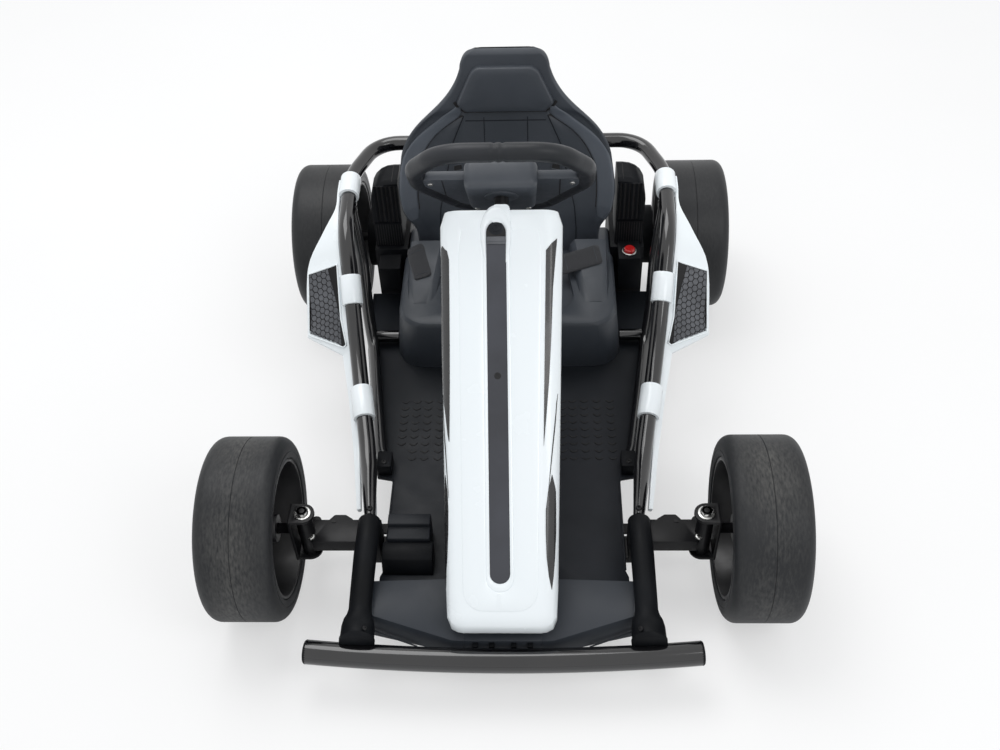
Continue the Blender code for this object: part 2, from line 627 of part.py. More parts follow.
def nose_panel():
    """Faceted nose, open below, with sloping front walls down to the bumper and an opening for the tongue."""
    slope = 0.0110
    made = solid("nose_panel", skin([nose_ring(0, NOSE_LOW_Z, slope), nose_ring(0, NOSE_TOP_Z - 0.004),
                                     nose_ring(0.003, NOSE_TOP_Z)]), SATIN_BLACK, KART, smooth=False)
    combine(made, skin([nose_ring(NOSE_T, NOSE_LOW_Z - 0.01, slope * 1.3),
                        nose_ring(NOSE_T, NOSE_TOP_Z - NOSE_T)]), "DIFFERENCE")
    combine(made, box((-0.2, -0.0540 - NOSE_T, 0.0), (0.2, -0.0400, PAN_Z + SEAT_GAP)), "DIFFERENCE")
    combine(made, box((-NOTCH_HALF, -0.1130, 0.0), (NOTCH_HALF, -0.0300, 0.2)), "DIFFERENCE")
    combine(made, bumper_solid(SEAT_GAP), "DIFFERENCE")
    return made


# Fairing
FAIR_DIR = Vector((0, cos(FAIR_SLOPE), sin(FAIR_SLOPE)))
FAIR_UP = Vector((0, -sin(FAIR_SLOPE), cos(FAIR_SLOPE)))


def fair_point(along, up=0.0, across=0.0):
    """A point from the start of the fairing's flat top: along its slope, up from it, across."""
    return Vector((0, *FAIR_FRONT)) + FAIR_DIR * along + FAIR_UP * up + Vector((across, 0, 0))


def fair_ring(top, low, flat, half):
    """Section between the two (y, z) points, flat on top, with sloping shoulders and upright sides."""
    shoulder = ((0.0, 0.0), (0.35, 0.03), (0.70, 0.13), (0.92, 0.27), (1.0, 0.42), (1.0, 1.0))
    right = []
    for out, down in shoulder:
        x = flat + (half - flat) * out
        right.append(Vector((x, top[0] + (low[0] - top[0]) * down, top[1] + (low[1] - top[1]) * down)))
    return right + [Vector((-point.x, point.y, point.z)) for point in reversed(right)]


def fair_solid(inset, deeper):
    """The fairing's outer form, or its hollow when inset is the wall."""
    def level(along, up):
        point = fair_point(along, up)
        return point.y, point.z
    rings = []
    fronts = (
        # y and z on top, y and z below, half width of the flat, half width
        (-0.1225, 0.0930, -0.1200, 0.0790, 0.0300, 0.0420), (-0.1220, 0.0980, -0.1190, 0.0790, 0.0330, 0.0480),
        (-0.1195, 0.1030, -0.1150, 0.0790, 0.0370, 0.0550), (-0.1150, 0.1080, -0.1050, 0.0790, 0.0400, 0.0590))
    for top_y, top_z, low_y, low_z, flat, half in fronts:
        rings.append(fair_ring((top_y + inset, top_z - inset), (low_y + inset, low_z - deeper),
                               flat - inset * 0.7, half - inset))
    for share in (0.06, 0.35, 0.68, 0.965, 1.0):
        along = FAIR_LENGTH * share
        taper = 1.0 if share < 1.0 else 0.93
        if share == 1.0:
            along -= inset
        flat = (FAIR_FLAT_FRONT + (FAIR_FLAT_REAR - FAIR_FLAT_FRONT) * share) * taper
        half = (FAIR_HALF_FRONT + (FAIR_HALF_REAR - FAIR_HALF_FRONT) * share) * taper
        rings.append(fair_ring(level(along, -inset), level(along, -FAIR_SKIRT - deeper),
                               flat - inset * 0.7, half - inset))
    return skin(rings)


def slot_outline(first, last, half, radius):
    """Outline along the slot's own line, between two places along the slope."""
    def middle(along):
        return SLOT_SHIFT_FRONT + (SLOT_SHIFT_REAR - SLOT_SHIFT_FRONT) * along / FAIR_LENGTH
    return rounded_outline([(middle(first) - half, first), (middle(first) + half, first),
                            (middle(last) + half, last), (middle(last) - half, last)], radius, 5)


def fair_plane(up):
    """Matrix whose x is across, y along the slope and z up from it, at height up over the flat top."""
    origin = fair_point(0, up)
    rows = ((1, 0, 0, 0), (0, FAIR_DIR.y, FAIR_UP.y, origin.y), (0, FAIR_DIR.z, FAIR_UP.z, origin.z),
            (0, 0, 0, 1))
    return Matrix(rows)


WINDOW_RUN = (0.0320, 0.4260)


def fairing():
    made = solid("fairing", fair_solid(0.0, 0.0), WHITE, KART)
    combine(made, fair_solid(FAIR_WALL, 0.02), "DIFFERENCE")
    knob = rounded_outline([(-0.0120, 0.4250), (0.0120, 0.4250), (0.0090, 0.4460), (-0.0090, 0.4460)], 0.005, 4)
    combine(made, plate(knob, 0.0050, fair_plane(-0.0030)))
    window = slot_outline(*WINDOW_RUN, SLOT_HALF, SLOT_HALF - 0.0005)
    combine(made, plate(window, 0.02, fair_plane(-0.01)), "DIFFERENCE")
    notch = COLUMN_R + 0.0040
    combine(made, bar(column_point(-0.110), column_point(-HUB_DEPTH), notch, 16), "DIFFERENCE")
    opening = [(-notch, FAIR_LENGTH - 0.020), (notch, FAIR_LENGTH - 0.020), (notch, FAIR_LENGTH + 0.010),
               (-notch, FAIR_LENGTH + 0.010)]
    combine(made, plate(opening, -0.040, fair_plane(-0.0190)), "DIFFERENCE")
    return made


def fairing_window():
    first, last = WINDOW_RUN
    outline = slot_outline(first + SEAT_GAP, last - SEAT_GAP, SLOT_HALF - SEAT_GAP, SLOT_HALF - 0.0008)
    return solid("fairing_window", plate(outline, WINDOW_T, fair_plane(-WINDOW_T - 0.0008)), SMOKED, KART,
                 smooth=False)


def column_bracket():
    """Upright plate on the floor that carries the column in its bore and the fairing on its top edge."""
    y0, thickness = 0.0600, 0.0040
    floor = PAN_Z + SEAT_GAP
    outline = [(-0.0500, floor), (0.0500, floor), (0.0500, floor + 0.006), (0.0400, floor + 0.030),
               (0.0400, 0.2700), (-0.0400, 0.2700), (-0.0400, floor + 0.030), (-0.0500, floor + 0.006)]
    upright = Matrix.Translation((0, y0 + thickness, 0)) @ Matrix.Rotation(pi / 2, 4, "X")
    made = solid("column_bracket", plate(outline, thickness, upright), STEEL_BLACK, KART, smooth=False)
    roof = fair_plane(-FAIR_WALL - SEAT_GAP)
    combine(made, plate([(-0.1, -0.1), (0.1, -0.1), (0.1, 0.6), (-0.1, 0.6)], 0.2, roof), "DIFFERENCE")
    combine(made, bar(column_point(-0.40), column_point(-0.10), COLUMN_R + PIN_GAP, 16), "DIFFERENCE")
    foot = [(-0.0500, y0 - 0.012), (0.0500, y0 - 0.012), (0.0500, y0 + thickness), (-0.0500, y0 + thickness)]
    combine(made, plate(foot, 0.0030, Matrix.Translation((0, 0, floor))))
    return made


# Pedal
def pedal_base():
    """Block on the floor in front of the pedal, on the driver's right."""
    profile = [(-0.0410, PAN_Z + SEAT_GAP), (-0.0125, PAN_Z + SEAT_GAP), (-0.0125, 0.0965), (-0.0250, 0.0965),
               (-0.0340, 0.0920)]
    return solid("pedal_base", skin([[(x, y, z) for y, z in profile] for x in (-0.1380, -0.0800)]), MATT_BLACK,
                 KART, smooth=False)


def pedal_plate():
    """Accelerator pedal with two steps, right behind its block."""
    low, front = PAN_Z + SEAT_GAP, -0.0125 + SEAT_GAP
    made = solid("pedal_plate", box((-0.1330, front, low), (-0.0840, 0.0190, 0.1010)), SATIN_BLACK, KART,
                 smooth=False)
    combine(made, box((-0.1330, 0.0040, 0.0900), (-0.0840, 0.0190, 0.1070)))
    return made


# Seat
SEAT_ROWS = (
    # z, front face at the middle from the base's front, half width, how far the wings come forward, thickness
    (0.1503, 0.1470, 0.1220, 0.0060, 0.0140), (0.1900, 0.1550, 0.1230, 0.0140, 0.0140),
    (0.2020, 0.1575, 0.1260, 0.0220, 0.0140), (0.2250, 0.1625, 0.1370, 0.0340, 0.0140),
    (0.2600, 0.1700, 0.1420, 0.0360, 0.0140), (0.3100, 0.1810, 0.1340, 0.0260, 0.0140),
    (0.3300, 0.1850, 0.1210, 0.0180, 0.0140), (0.3600, 0.1915, 0.0800, 0.0060, 0.0150),
    (0.3800, 0.1960, 0.0640, 0.0020, 0.0160), (0.4120, 0.2030, 0.0520, 0.0000, 0.0150),
    (0.4220, 0.2055, 0.0430, 0.0000, 0.0080))
SEAT_ACROSS = (-1.0, -0.93, -0.82, -0.66, -0.45, -0.22, 0.0, 0.22, 0.45, 0.66, 0.82, 0.93, 1.0)


def seat_ring(z, back, half, wing, thickness):
    """Section of the backrest on the level z."""
    y = BASE_FRONT_Y + back
    front, rear = [], []
    for u in SEAT_ACROSS:
        lift = max(0.0, (abs(u) - 0.45) / 0.55)
        forward = wing * lift ** 1.4
        edge = 1.0 - 0.35 * max(0.0, (abs(u) - 0.8) / 0.2)
        front.append((u * half, y - forward, z))
        rear.append((u * half * 0.985, y - forward + thickness * edge, z))
    return front + rear[::-1]


def seat_shell():
    """Bucket seat back with forward wings and a headrest, and a rib behind it down to the hoop."""
    made = solid("seat_shell", skin([seat_ring(*row) for row in SEAT_ROWS]), SATIN_BLACK, KART)
    combine(made, box((-0.0300, HOOP_Y - 0.0760, HOOP_Z - 0.0130), (0.0300, HOOP_Y + 0.0030, HOOP_Z + 0.0120)))
    combine(made, rail_cutter(), "DIFFERENCE")
    combine(made, box((-0.05, HOOP_Y + 0.0001, 0.20), (0.05, 0.60, 0.30)), "DIFFERENCE")
    return made


def headrest_pad():
    """Trapezoid pad on the headrest."""
    lean = atan2(0.4930 - 0.4771, 0.4120 - 0.3400)
    outline = rounded_outline([(-0.0560, 0.0), (0.0560, 0.0), (0.0640, 0.0090), (0.0440, 0.0620),
                               (-0.0440, 0.0620), (-0.0640, 0.0090)], [0.003, 0.003, 0.004, 0.012, 0.012, 0.004])
    at = (Matrix.Translation((0, BASE_FRONT_Y + 0.1870, 0.3430)) @ Matrix.Rotation(pi / 2 - lean, 4, "X"))
    made = solid("headrest_pad", plate(outline, PAD_T, at), SATIN_BLACK, KART)
    combine(made, skin([[(x, y - (2 * SEAT_GAP if i < len(SEAT_ACROSS) else 0), z) for i, (x, y, z) in
                         enumerate(seat_ring(*row))] for row in SEAT_ROWS[5:]]), "DIFFERENCE")
    return made


def base_outline(inset, half):
    """Plan of the seat base: round in front, narrower between the housings."""
    narrow_y, wide_y = HOUSING_FRONT_Y - 0.0060, HOUSING_FRONT_Y - 0.0140
    corners = [(BASE_REAR_HALF, BASE_REAR_Y), (-BASE_REAR_HALF, BASE_REAR_Y), (-BASE_REAR_HALF, narrow_y),
               (-half, wide_y), (-half, BASE_FRONT_Y), (half, BASE_FRONT_Y), (half, wide_y),
               (BASE_REAR_HALF, narrow_y)]
    moved = [(x - inset * (1 if x > 0 else -1), y + inset * (1 if y == BASE_FRONT_Y else -1)) for x, y in corners]
    return rounded_outline(moved, [0.004, 0.004, 0.002, 0.002, 0.038, 0.038, 0.002, 0.002], 5)


def bolster_top(y):
    """Height of the bolsters beside the cushion, rising towards the backrest."""
    beyond = y - BASE_FRONT_Y - BOLSTER_KNEE
    return BASE_TOP_Z + 0.0085 + beyond * (0.20 if beyond < 0 else 0.53)


def seat_base():
    """Hollow seat base with the cushion's recess and two bolsters, open below over the battery."""
    floor = PAN_Z + SEAT_GAP
    def ring(inset, half, z):
        return [(x, y, z) for x, y in base_outline(inset, half)]
    made = solid("seat_base", skin([ring(0.0, BASE_HALF, floor), ring(0.0, BASE_TOP_HALF + 0.001, BASE_TOP_Z - 0.007),
                                    ring(0.0020, BASE_TOP_HALF, BASE_TOP_Z - 0.0020),
                                    ring(0.0060, BASE_TOP_HALF, BASE_TOP_Z)]),
                 SATIN_BLACK, KART)
    for name, side in SIDES:
        rings = []
        for back, inner, outer, drop in ((0.0400, 0.0980, 0.1300, 0.0015), (BOLSTER_KNEE, 0.0900, 0.1320, 0.0050),
                                         (0.1280, 0.0800, 0.1310, 0.0090)):
            y = BASE_FRONT_Y + back
            low, top = BASE_TOP_Z - 0.0020, bolster_top(y)
            rings.append([(side * x, y, z) for x, z in (
                (inner, low), (outer + 0.0040, low), (outer, top - 0.0015), (outer - 0.0070, top),
                (inner + 0.0100, top), (inner + 0.0030, top - drop))])
        combine(made, skin(rings))
    front, rear = BASE_FRONT_Y + 0.0220, BASE_FRONT_Y + 0.1360
    cushion = rounded_outline([(-0.0920, front), (0.0920, front), (0.0760, rear), (-0.0760, rear)],
                              [0.030, 0.030, 0.010, 0.010], 4)
    combine(made, plate(cushion, 0.05, Matrix.Translation((0, 0, CUSHION_Z))), "DIFFERENCE")
    combine(made, skin([ring(BASE_WALL, BASE_HALF - 0.001, floor - 0.01),
                        ring(BASE_WALL, BASE_TOP_HALF, CUSHION_Z - BASE_WALL)]), "DIFFERENCE")
    return made


def battery_block():
    wide, long, high = BATTERY
    y0 = (BASE_FRONT_Y + BASE_REAR_Y - long) / 2
    z0 = PAN_Z + SEAT_GAP
    return solid("battery_block", box((-wide / 2, y0, z0), (wide / 2, y0 + long, z0 + high)), BATTERY_CASE, KART,
                 smooth=False)


def lap_belt(name, side):
    """Flat strap that lies across the bolster, its end towards the driver's lap."""
    rings = []
    for x in (0.0720, 0.1000, 0.1230):
        low = [(side * x, y, bolster_top(y) + SEAT_GAP) for y in (BELT_Y - BELT_HALF, BELT_Y + BELT_HALF)]
        rings.append(low + [(px, y, z + BELT_T) for px, y, z in reversed(low)])
    return solid(name, skin(rings), WEBBING, KART, smooth=False)


# Rear
def housing(name, side):
    """Motor housing beside the seat, round at its upper outer corner, with the gearbox round the rear axle."""
    inner, rear_y = BASE_REAR_HALF + SEAT_GAP, WHEELBASE + HOUSING_BEHIND
    low_part = [(inner, 0.0580), (HOUSING_OUT - 0.0030, 0.0580), (HOUSING_OUT, 0.0640), (HOUSING_OUT, 0.1500),
                (inner, 0.1500)]
    made = solid(name, skin([[(side * x, y, z) for x, z in low_part] for y in (HOUSING_FRONT_Y, rear_y)]),
                 MATT_BLACK, KART)
    high_in, high_out, high_y = BASE_REAR_HALF + 0.0060, HOUSING_OUT - 0.0015, HOUSING_FRONT_Y + 0.0100
    arch = [(high_out - HOUSING_ARCH_R * (1 - cos(a)), HOUSING_TOP_Z - HOUSING_ARCH_R * (1 - sin(a)))
            for a in (0, pi / 10, pi / 5, 3 * pi / 10, 2 * pi / 5, pi / 2)]
    upper = [(high_in, 0.1450), (high_out, 0.1450)] + arch + [(high_in, HOUSING_TOP_Z)]
    combine(made, skin([[(side * x, y, 0.1450 + (z - 0.1450) * rise) for x, z in upper] for y, rise in (
        (high_y, 0.97), (high_y + 0.0060, 1.0), (high_y + HOUSING_LONG - 0.0120, 1.0), (high_y + HOUSING_LONG, 0.94))]))
    x0, x1 = sorted((side * (BASE_REAR_HALF + 0.0100), side * (BASE_REAR_HALF + 0.0400)))
    combine(made, box((x0, HOUSING_FRONT_Y - 0.0300, 0.1020), (x1, high_y + 0.0060, BUTTON_Z if side > 0 else 0.1400)))
    combine(made, bar((side * (HOUSING_OUT - 0.0100), WHEELBASE, AXLE_Z), (side * (HOUSING_OUT + 0.0180), WHEELBASE, AXLE_Z),
                      GEARBOX_R, 32))
    combine(made, bar((side * 0.10, WHEELBASE, AXLE_Z), (side * 0.25, WHEELBASE, AXLE_Z), AXLE_R + PIN_GAP, 20),
            "DIFFERENCE")
    return made


def power_button():
    centre = Vector((BASE_REAR_HALF + 0.0250, HOUSING_FRONT_Y - 0.0150, BUTTON_Z + SEAT_GAP))
    return solid("power_button", bar(centre, centre + Vector((0, 0, 0.0060)), 0.0075, 20), RED, KART)


def rear_axle():
    return solid("rear_axle", bar((-REAR_AXLE_HALF, WHEELBASE, AXLE_Z), (REAR_AXLE_HALF, WHEELBASE, AXLE_Z),
                                  AXLE_R, 20), STEEL_BLACK, KART)


# Side pods
POD_ROWS = (
    # y, outer edge (x, z)
    (0.0250, 0.1695, 0.1040), (0.0600, 0.1750, 0.1040), (0.1200, 0.1840, 0.1070), (0.1800, 0.1940, 0.1200),
    (0.2430, 0.2070, 0.1390), (0.2740, 0.2570, 0.1420), (0.3395, 0.2563, 0.2020), (0.3750, 0.2370, 0.2320),
    (0.4050, 0.2235, 0.2460), (0.4400, 0.2240, 0.2500), (0.4600, 0.2240, 0.2520))
POD_RAIL_GAP = 0.0015
POD_T = 0.0050
INSERT_ROWS = ((0.2480, 0.16, 0.40), (0.2770, 0.12, 0.93), (0.3320, 0.10, 0.93))   # y, shares of the width
INSERT_T = 0.0012


def pod_section(y):
    """Inner and outer edge of the pod's middle surface at y; the inner one runs along the rail."""
    for low, high in zip(POD_ROWS, POD_ROWS[1:]):
        if low[0] <= y <= high[0]:
            share = (y - low[0]) / (high[0] - low[0])
            outer = Vector((low[1] + (high[1] - low[1]) * share, y, low[2] + (high[2] - low[2]) * share))
    rail = rail_at(y, 1)[0]
    return rail + (outer - rail).normalized() * (RAIL_R + POD_RAIL_GAP), outer


def insert_shares(y):
    """Where the insert starts and ends across the pod at y."""
    rows = INSERT_ROWS
    y = min(max(y, rows[0][0]), rows[-1][0])
    for low, high in zip(rows, rows[1:]):
        if low[0] <= y <= high[0]:
            part = (y - low[0]) / (high[0] - low[0])
            share = (low[1] + (high[1] - low[1]) * part, low[2] + (high[2] - low[2]) * part)
    return share


def pod_ring(y, side, edges, low, high):
    """Points across the pod's sheet on two levels over its middle, from edge to edge or the insert's alone."""
    inner, outer = pod_section(y)
    shares = (0.0, *insert_shares(y), 1.0) if edges else insert_shares(y)
    across = outer - inner
    normal = Vector((-across.z, 0, across.x)).normalized()
    run = [(share, low) for share in shares] + [(share, high) for share in reversed(shares)]
    points = [inner + across * share + normal * level for share, level in run]
    return mirrored(points, side)


def side_pod(name, side):
    """White side panel hung on the rail by three clips, with a fin that carries the insert."""
    half = POD_T / 2
    ys = sorted({row[0] for row in POD_ROWS} | {row[0] for row in INSERT_ROWS})
    made = solid(name, skin([pod_ring(y, side, True, -half, half) for y in ys], sheet=True), WHITE, KART)
    for y, length in CLIPS:
        centre, direction = rail_at(y, side)
        reach = direction * length / 2
        combine(made, bar(centre - reach, centre + reach, RAIL_R + CLIP_WALL, 16))
    combine(made, rail_cutter(), "DIFFERENCE")
    return made


def honeycomb_insert(name, side):
    low = POD_T / 2 + SEAT_GAP
    ys = [row[0] for row in INSERT_ROWS] + [row[0] for row in POD_ROWS if INSERT_ROWS[0][0] < row[0] < INSERT_ROWS[-1][0]]
    return solid(name, skin([pod_ring(y, side, False, low, low + INSERT_T) for y in sorted(ys)],
                            sheet=True), GREY, KART,
                 smooth=False)


hoop_rail()
for name, side in SIDES:
    lower_rail(f"lower_rail_{name}", side)
    front_sleeve(f"front_sleeve_{name}", side)
    side_pod(f"side_pod_{name}", side)
    honeycomb_insert(f"honeycomb_insert_{name}", side)
    housing(f"housing_{name}", side)
    lap_belt(f"lap_belt_{name}", side)
bumper()
floor_pan()
nose_panel()
fairing()
fairing_window()
column_bracket()
pedal_base()
pedal_plate()
seat_shell()
headrest_pad()
seat_base()
battery_block()
power_button()
rear_axle()
front_beam()
for name, side in SIDES:
    knuckle(f"knuckle_{name}", side, KART)
    front = (side * FRONT_HALF_TRACK, 0, AXLE_Z)
    rear = (side * REAR_HALF_TRACK, WHEELBASE, AXLE_Z)
    tyre(f"tyre_front_{name}", front, FRONT_TYRE_W, KART)
    rim(f"rim_front_{name}", side, front, FRONT_TYRE_W, KART, AXLE_R)
    tyre(f"tyre_rear_{name}", rear, REAR_TYRE_W, KART)
    rim(f"rim_rear_{name}", side, rear, REAR_TYRE_W, KART, AXLE_R)
tie_bar(KART)
steering_column(KART)
steering_wheel(KART)
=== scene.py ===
"""Looks of the electric drift kart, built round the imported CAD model.

Metres, +Z up, the kart faces -Y and the driver's left is +X. Places are written in the front
axle's frame, as in the part's source, and at() moves them into the model's frame.
"""

import json
from math import atan2, cos, dist, hypot, pi, radians, sin, tan

import bmesh
import bpy
from mathutils import Matrix, Vector


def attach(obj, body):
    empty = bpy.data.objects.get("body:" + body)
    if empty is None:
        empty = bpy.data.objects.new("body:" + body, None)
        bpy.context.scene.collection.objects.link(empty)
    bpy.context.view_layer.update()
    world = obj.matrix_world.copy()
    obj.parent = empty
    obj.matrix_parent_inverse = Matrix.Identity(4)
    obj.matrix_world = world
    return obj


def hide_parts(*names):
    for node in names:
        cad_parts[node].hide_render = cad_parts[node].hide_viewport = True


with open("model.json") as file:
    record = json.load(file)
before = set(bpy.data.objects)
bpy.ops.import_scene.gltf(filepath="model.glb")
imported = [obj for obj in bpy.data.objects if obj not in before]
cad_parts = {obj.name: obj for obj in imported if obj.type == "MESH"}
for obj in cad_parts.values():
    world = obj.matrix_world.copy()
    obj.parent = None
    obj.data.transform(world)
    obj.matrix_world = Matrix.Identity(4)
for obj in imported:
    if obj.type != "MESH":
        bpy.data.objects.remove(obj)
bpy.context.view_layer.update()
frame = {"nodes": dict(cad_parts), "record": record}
NODES = frame["nodes"]
SLOTS = {part["node"]: part["material_slot"] for part in frame["record"]["subparts"]}
BODY = {node: body for body, members in frame["record"]["behaviour"]["bodies"].items() for node in members}
AXLE_Y, AXLE_Z = 0.23885, 0.105      # the front axle is this far ahead of the model's middle, and this high
WHEELS = (("front", 0.286, 0.0, 0.084), ("rear", 0.258, 0.526, 0.089))      # end, x, y, width
SIDES = (("left", 1), ("right", -1))
UP = Vector((0, 0, 1))


def at(x, y, z):
    return Vector((x, y - AXLE_Y, z))


# Materials
def feed(tree, fed, inputs):
    """Sets inputs of a node, to a value or to another node's output."""
    for key, value in inputs.items():
        if isinstance(value, bpy.types.NodeSocket):
            tree.links.new(value, fed.inputs[key])
        else:
            fed.inputs[key].default_value = value


def node(tree, kind, inputs=None, **settings):
    made = tree.nodes.new(f"ShaderNode{kind}")
    for key, value in settings.items():
        setattr(made, key, value)
    feed(tree, made, inputs or {})
    return made


def new_look(name):
    made = bpy.data.materials.new(name)
    made.use_nodes = True
    return made, made.node_tree, made.node_tree.nodes["Principled BSDF"]


def noise(tree, scale, detail=3.0, stretch=None):
    """A noise texture in the piece's own coordinates; stretch scales the axes."""
    place = node(tree, "TexCoord").outputs["Object"]
    if stretch:
        place = node(tree, "Mapping", {"Scale": stretch, "Vector": place}).outputs["Vector"]
    return node(tree, "TexNoise", {"Scale": scale, "Detail": detail, "Vector": place}).outputs["Fac"]


def ramp(tree, source, *stops):
    """Colours or grey values at places along the source's range."""
    made = node(tree, "ValToRGB", {"Fac": source})
    for element, (place, colour) in zip(made.color_ramp.elements, stops):
        element.position = place
        element.color = (*colour, 1) if isinstance(colour, tuple) else (colour, colour, colour, 1)
    return made.outputs["Color"]


def bump(tree, height, depth, strength=1.0):
    return node(tree, "Bump", {"Height": height, "Distance": depth, "Strength": strength}).outputs["Normal"]


def maths(tree, operation, a, b):
    return node(tree, "Math", {0: a, 1: b}, operation=operation).outputs["Value"]


def plastic(name, dark, light, rough, blotch=9.0, grain=900.0, grain_depth=0.00006, coat=0.0, metallic=0.0,
            specular=0.5):
    """Moulded plastic or paint: two near colours in soft blotches, uneven gloss and a fine grain."""
    made, tree, shader = new_look(name)
    feed(tree, shader, {
        "Base Color": ramp(tree, noise(tree, blotch, 4.0), (0.35, dark), (0.68, light)),
        "Roughness": ramp(tree, noise(tree, blotch * 5, 6.0), (0.3, rough[0]), (0.72, rough[1])),
        "Normal": bump(tree, noise(tree, grain, 2.0), grain_depth, 0.6),
        "Metallic": metallic, "Specular IOR Level": specular})
    if coat:
        feed(tree, shader, {"Coat Weight": coat, "Coat Roughness": 0.06})
    return made


def tyre_rubber(name, dust, rough):
    """Black rubber; dust is how strongly the tread is scuffed grey along its middle."""
    made, tree, shader = new_look(name)
    fine, broad = noise(tree, 420.0, 6.0, (1.0, 0.35, 0.35)), noise(tree, 11.0, 3.0)
    worn = ramp(tree, maths(tree, "MULTIPLY", fine, broad), (0.16, 0.0), (0.46, 1.0))
    band = node(tree, "Attribute", attribute_name="tread").outputs["Fac"]
    share = maths(tree, "MULTIPLY", maths(tree, "MULTIPLY", worn, band), dust)
    black, grey = (0.013, 0.014, 0.016, 1), (0.085, 0.084, 0.080, 1)
    feed(tree, shader, {
        "Base Color": node(tree, "Mix", {"Factor": share, "A": black, "B": grey},
                           data_type="RGBA").outputs["Result"],
        "Roughness": ramp(tree, broad, (0.3, rough[0]), (0.7, rough[1])),
        "Normal": bump(tree, fine, 0.00015, 0.5), "Specular IOR Level": 0.32})
    return made


def webbing_cloth(name):
    """Woven belt: ribs across the strap."""
    made, tree, shader = new_look(name)
    place = node(tree, "TexCoord").outputs["Object"]
    wave = node(tree, "TexWave", {"Scale": 330.0, "Distortion": 1.5, "Vector": place},
                bands_direction="DIAGONAL").outputs["Fac"]
    feed(tree, shader, {"Base Color": ramp(tree, wave, (0.2, (0.012, 0.012, 0.014)), (0.8, (0.034, 0.036, 0.042))),
                        "Normal": bump(tree, wave, 0.0003), "Roughness": 0.75, "Sheen Weight": 0.3})
    return made


# Name, dark and light colour, roughness, blotch and grain scale, grain depth, coat, metallic, specular
WHITE = plastic("white_gloss", (0.865, 0.915, 0.940), (0.885, 0.930, 0.955), (0.24, 0.28), 5.0, 300.0, 0.00002, 0.3)
TUBE = plastic("gloss_tube", (0.004, 0.004, 0.005), (0.007, 0.007, 0.008), (0.10, 0.17), 14.0, 160.0, 0.00002, 0.6)
MATT = plastic("matt_sleeve", (0.003, 0.0035, 0.0045), (0.007, 0.008, 0.010), (0.42, 0.56), 12.0, 1500.0, 0.00010,
               0, 0, 0.11)
SATIN = plastic("satin_moulding", (0.009, 0.011, 0.014), (0.016, 0.018, 0.023), (0.40, 0.52), 8.0, 1300.0, 0.00009,
                0, 0, 0.18)
# Nose moulding: lighter than the satin plastic it is, painted light for the light falling on its top.
NOSE_PAINTED_LIGHT = plastic("nose_moulding", (0.022, 0.027, 0.035), (0.036, 0.041, 0.050), (0.40, 0.52), 5.0, 1300.0, 0.00009,
               0, 0, 0.30)
SEAT = plastic("seat_moulding", (0.030, 0.036, 0.045), (0.042, 0.049, 0.061), (0.42, 0.55), 7.0, 1400.0, 0.00010)
# Bolster bands: the seat's plastic made lighter, painted sheen for the light they catch.
BOLSTER_PAINTED_SHEEN = plastic("seat_bolster_painted_sheen", (0.072, 0.084, 0.103), (0.094, 0.107, 0.128), (0.42, 0.55), 9.0, 1400.0, 0.00010)
RIM_GRIP = plastic("wheel_grip", (0.013, 0.015, 0.018), (0.022, 0.024, 0.029), (0.34, 0.48), 16.0, 700.0, 0.00016,
                   0, 0, 0.30)
STEEL = plastic("black_steel", (0.004, 0.004, 0.005), (0.009, 0.009, 0.010), (0.30, 0.42), 16.0, 700.0, 0.00004,
                0, 0, 0.22)
RIM = plastic("rim_plastic", (0.005, 0.005, 0.006), (0.009, 0.009, 0.011), (0.28, 0.42), 12.0, 700.0, 0.00004)
# Steering wheel's middle and lower part: lighter than their satin plastic, painted light for the light falling on
# them.
HUB_PAINTED_LIGHT = plastic("wheel_middle", (0.050, 0.058, 0.070), (0.072, 0.080, 0.094), (0.40, 0.54), 12.0, 1300.0, 0.00010)
INSERT = plastic("grey_moulding", (0.070, 0.074, 0.083), (0.105, 0.110, 0.122), (0.42, 0.55), 30.0, 1200.0, 0.00008)
SMOKED = plastic("smoked_strip", (0.018, 0.020, 0.028), (0.040, 0.044, 0.058), (0.10, 0.22), 10.0, 300.0, 0.00002,
                 0.3)
ZINC = plastic("zinc_bolt", (0.45, 0.45, 0.44), (0.66, 0.66, 0.64), (0.22, 0.38), 60.0, 900.0, 0.00004, 0.0, 1.0)
RED = plastic("red_button_plastic", (0.50, 0.010, 0.012), (0.66, 0.020, 0.020), (0.18, 0.28), 50.0, 600.0, 0.00002,
              0.5)
STRIPE = plastic("black_stripe", (0.010, 0.010, 0.011), (0.020, 0.020, 0.021), (0.22, 0.34), 25.0, 300.0, 0.00002,
                 0.4)
# Near-black: painted shade in holes, slots, grooves and recesses, and the real dark seam lines.
SHADE_AND_SEAM_BLACK = plastic("painted_shade_and_seam_black", (0.003, 0.003, 0.004), (0.006, 0.006, 0.007), (0.6, 0.8), 20.0, 900.0, 0.00003)
WEBBING = webbing_cloth("belt_webbing")
FRONT_RUBBER = tyre_rubber("front_rubber", 0.95, (0.44, 0.60))
REAR_RUBBER = tyre_rubber("rear_rubber", 0.25, (0.36, 0.52))

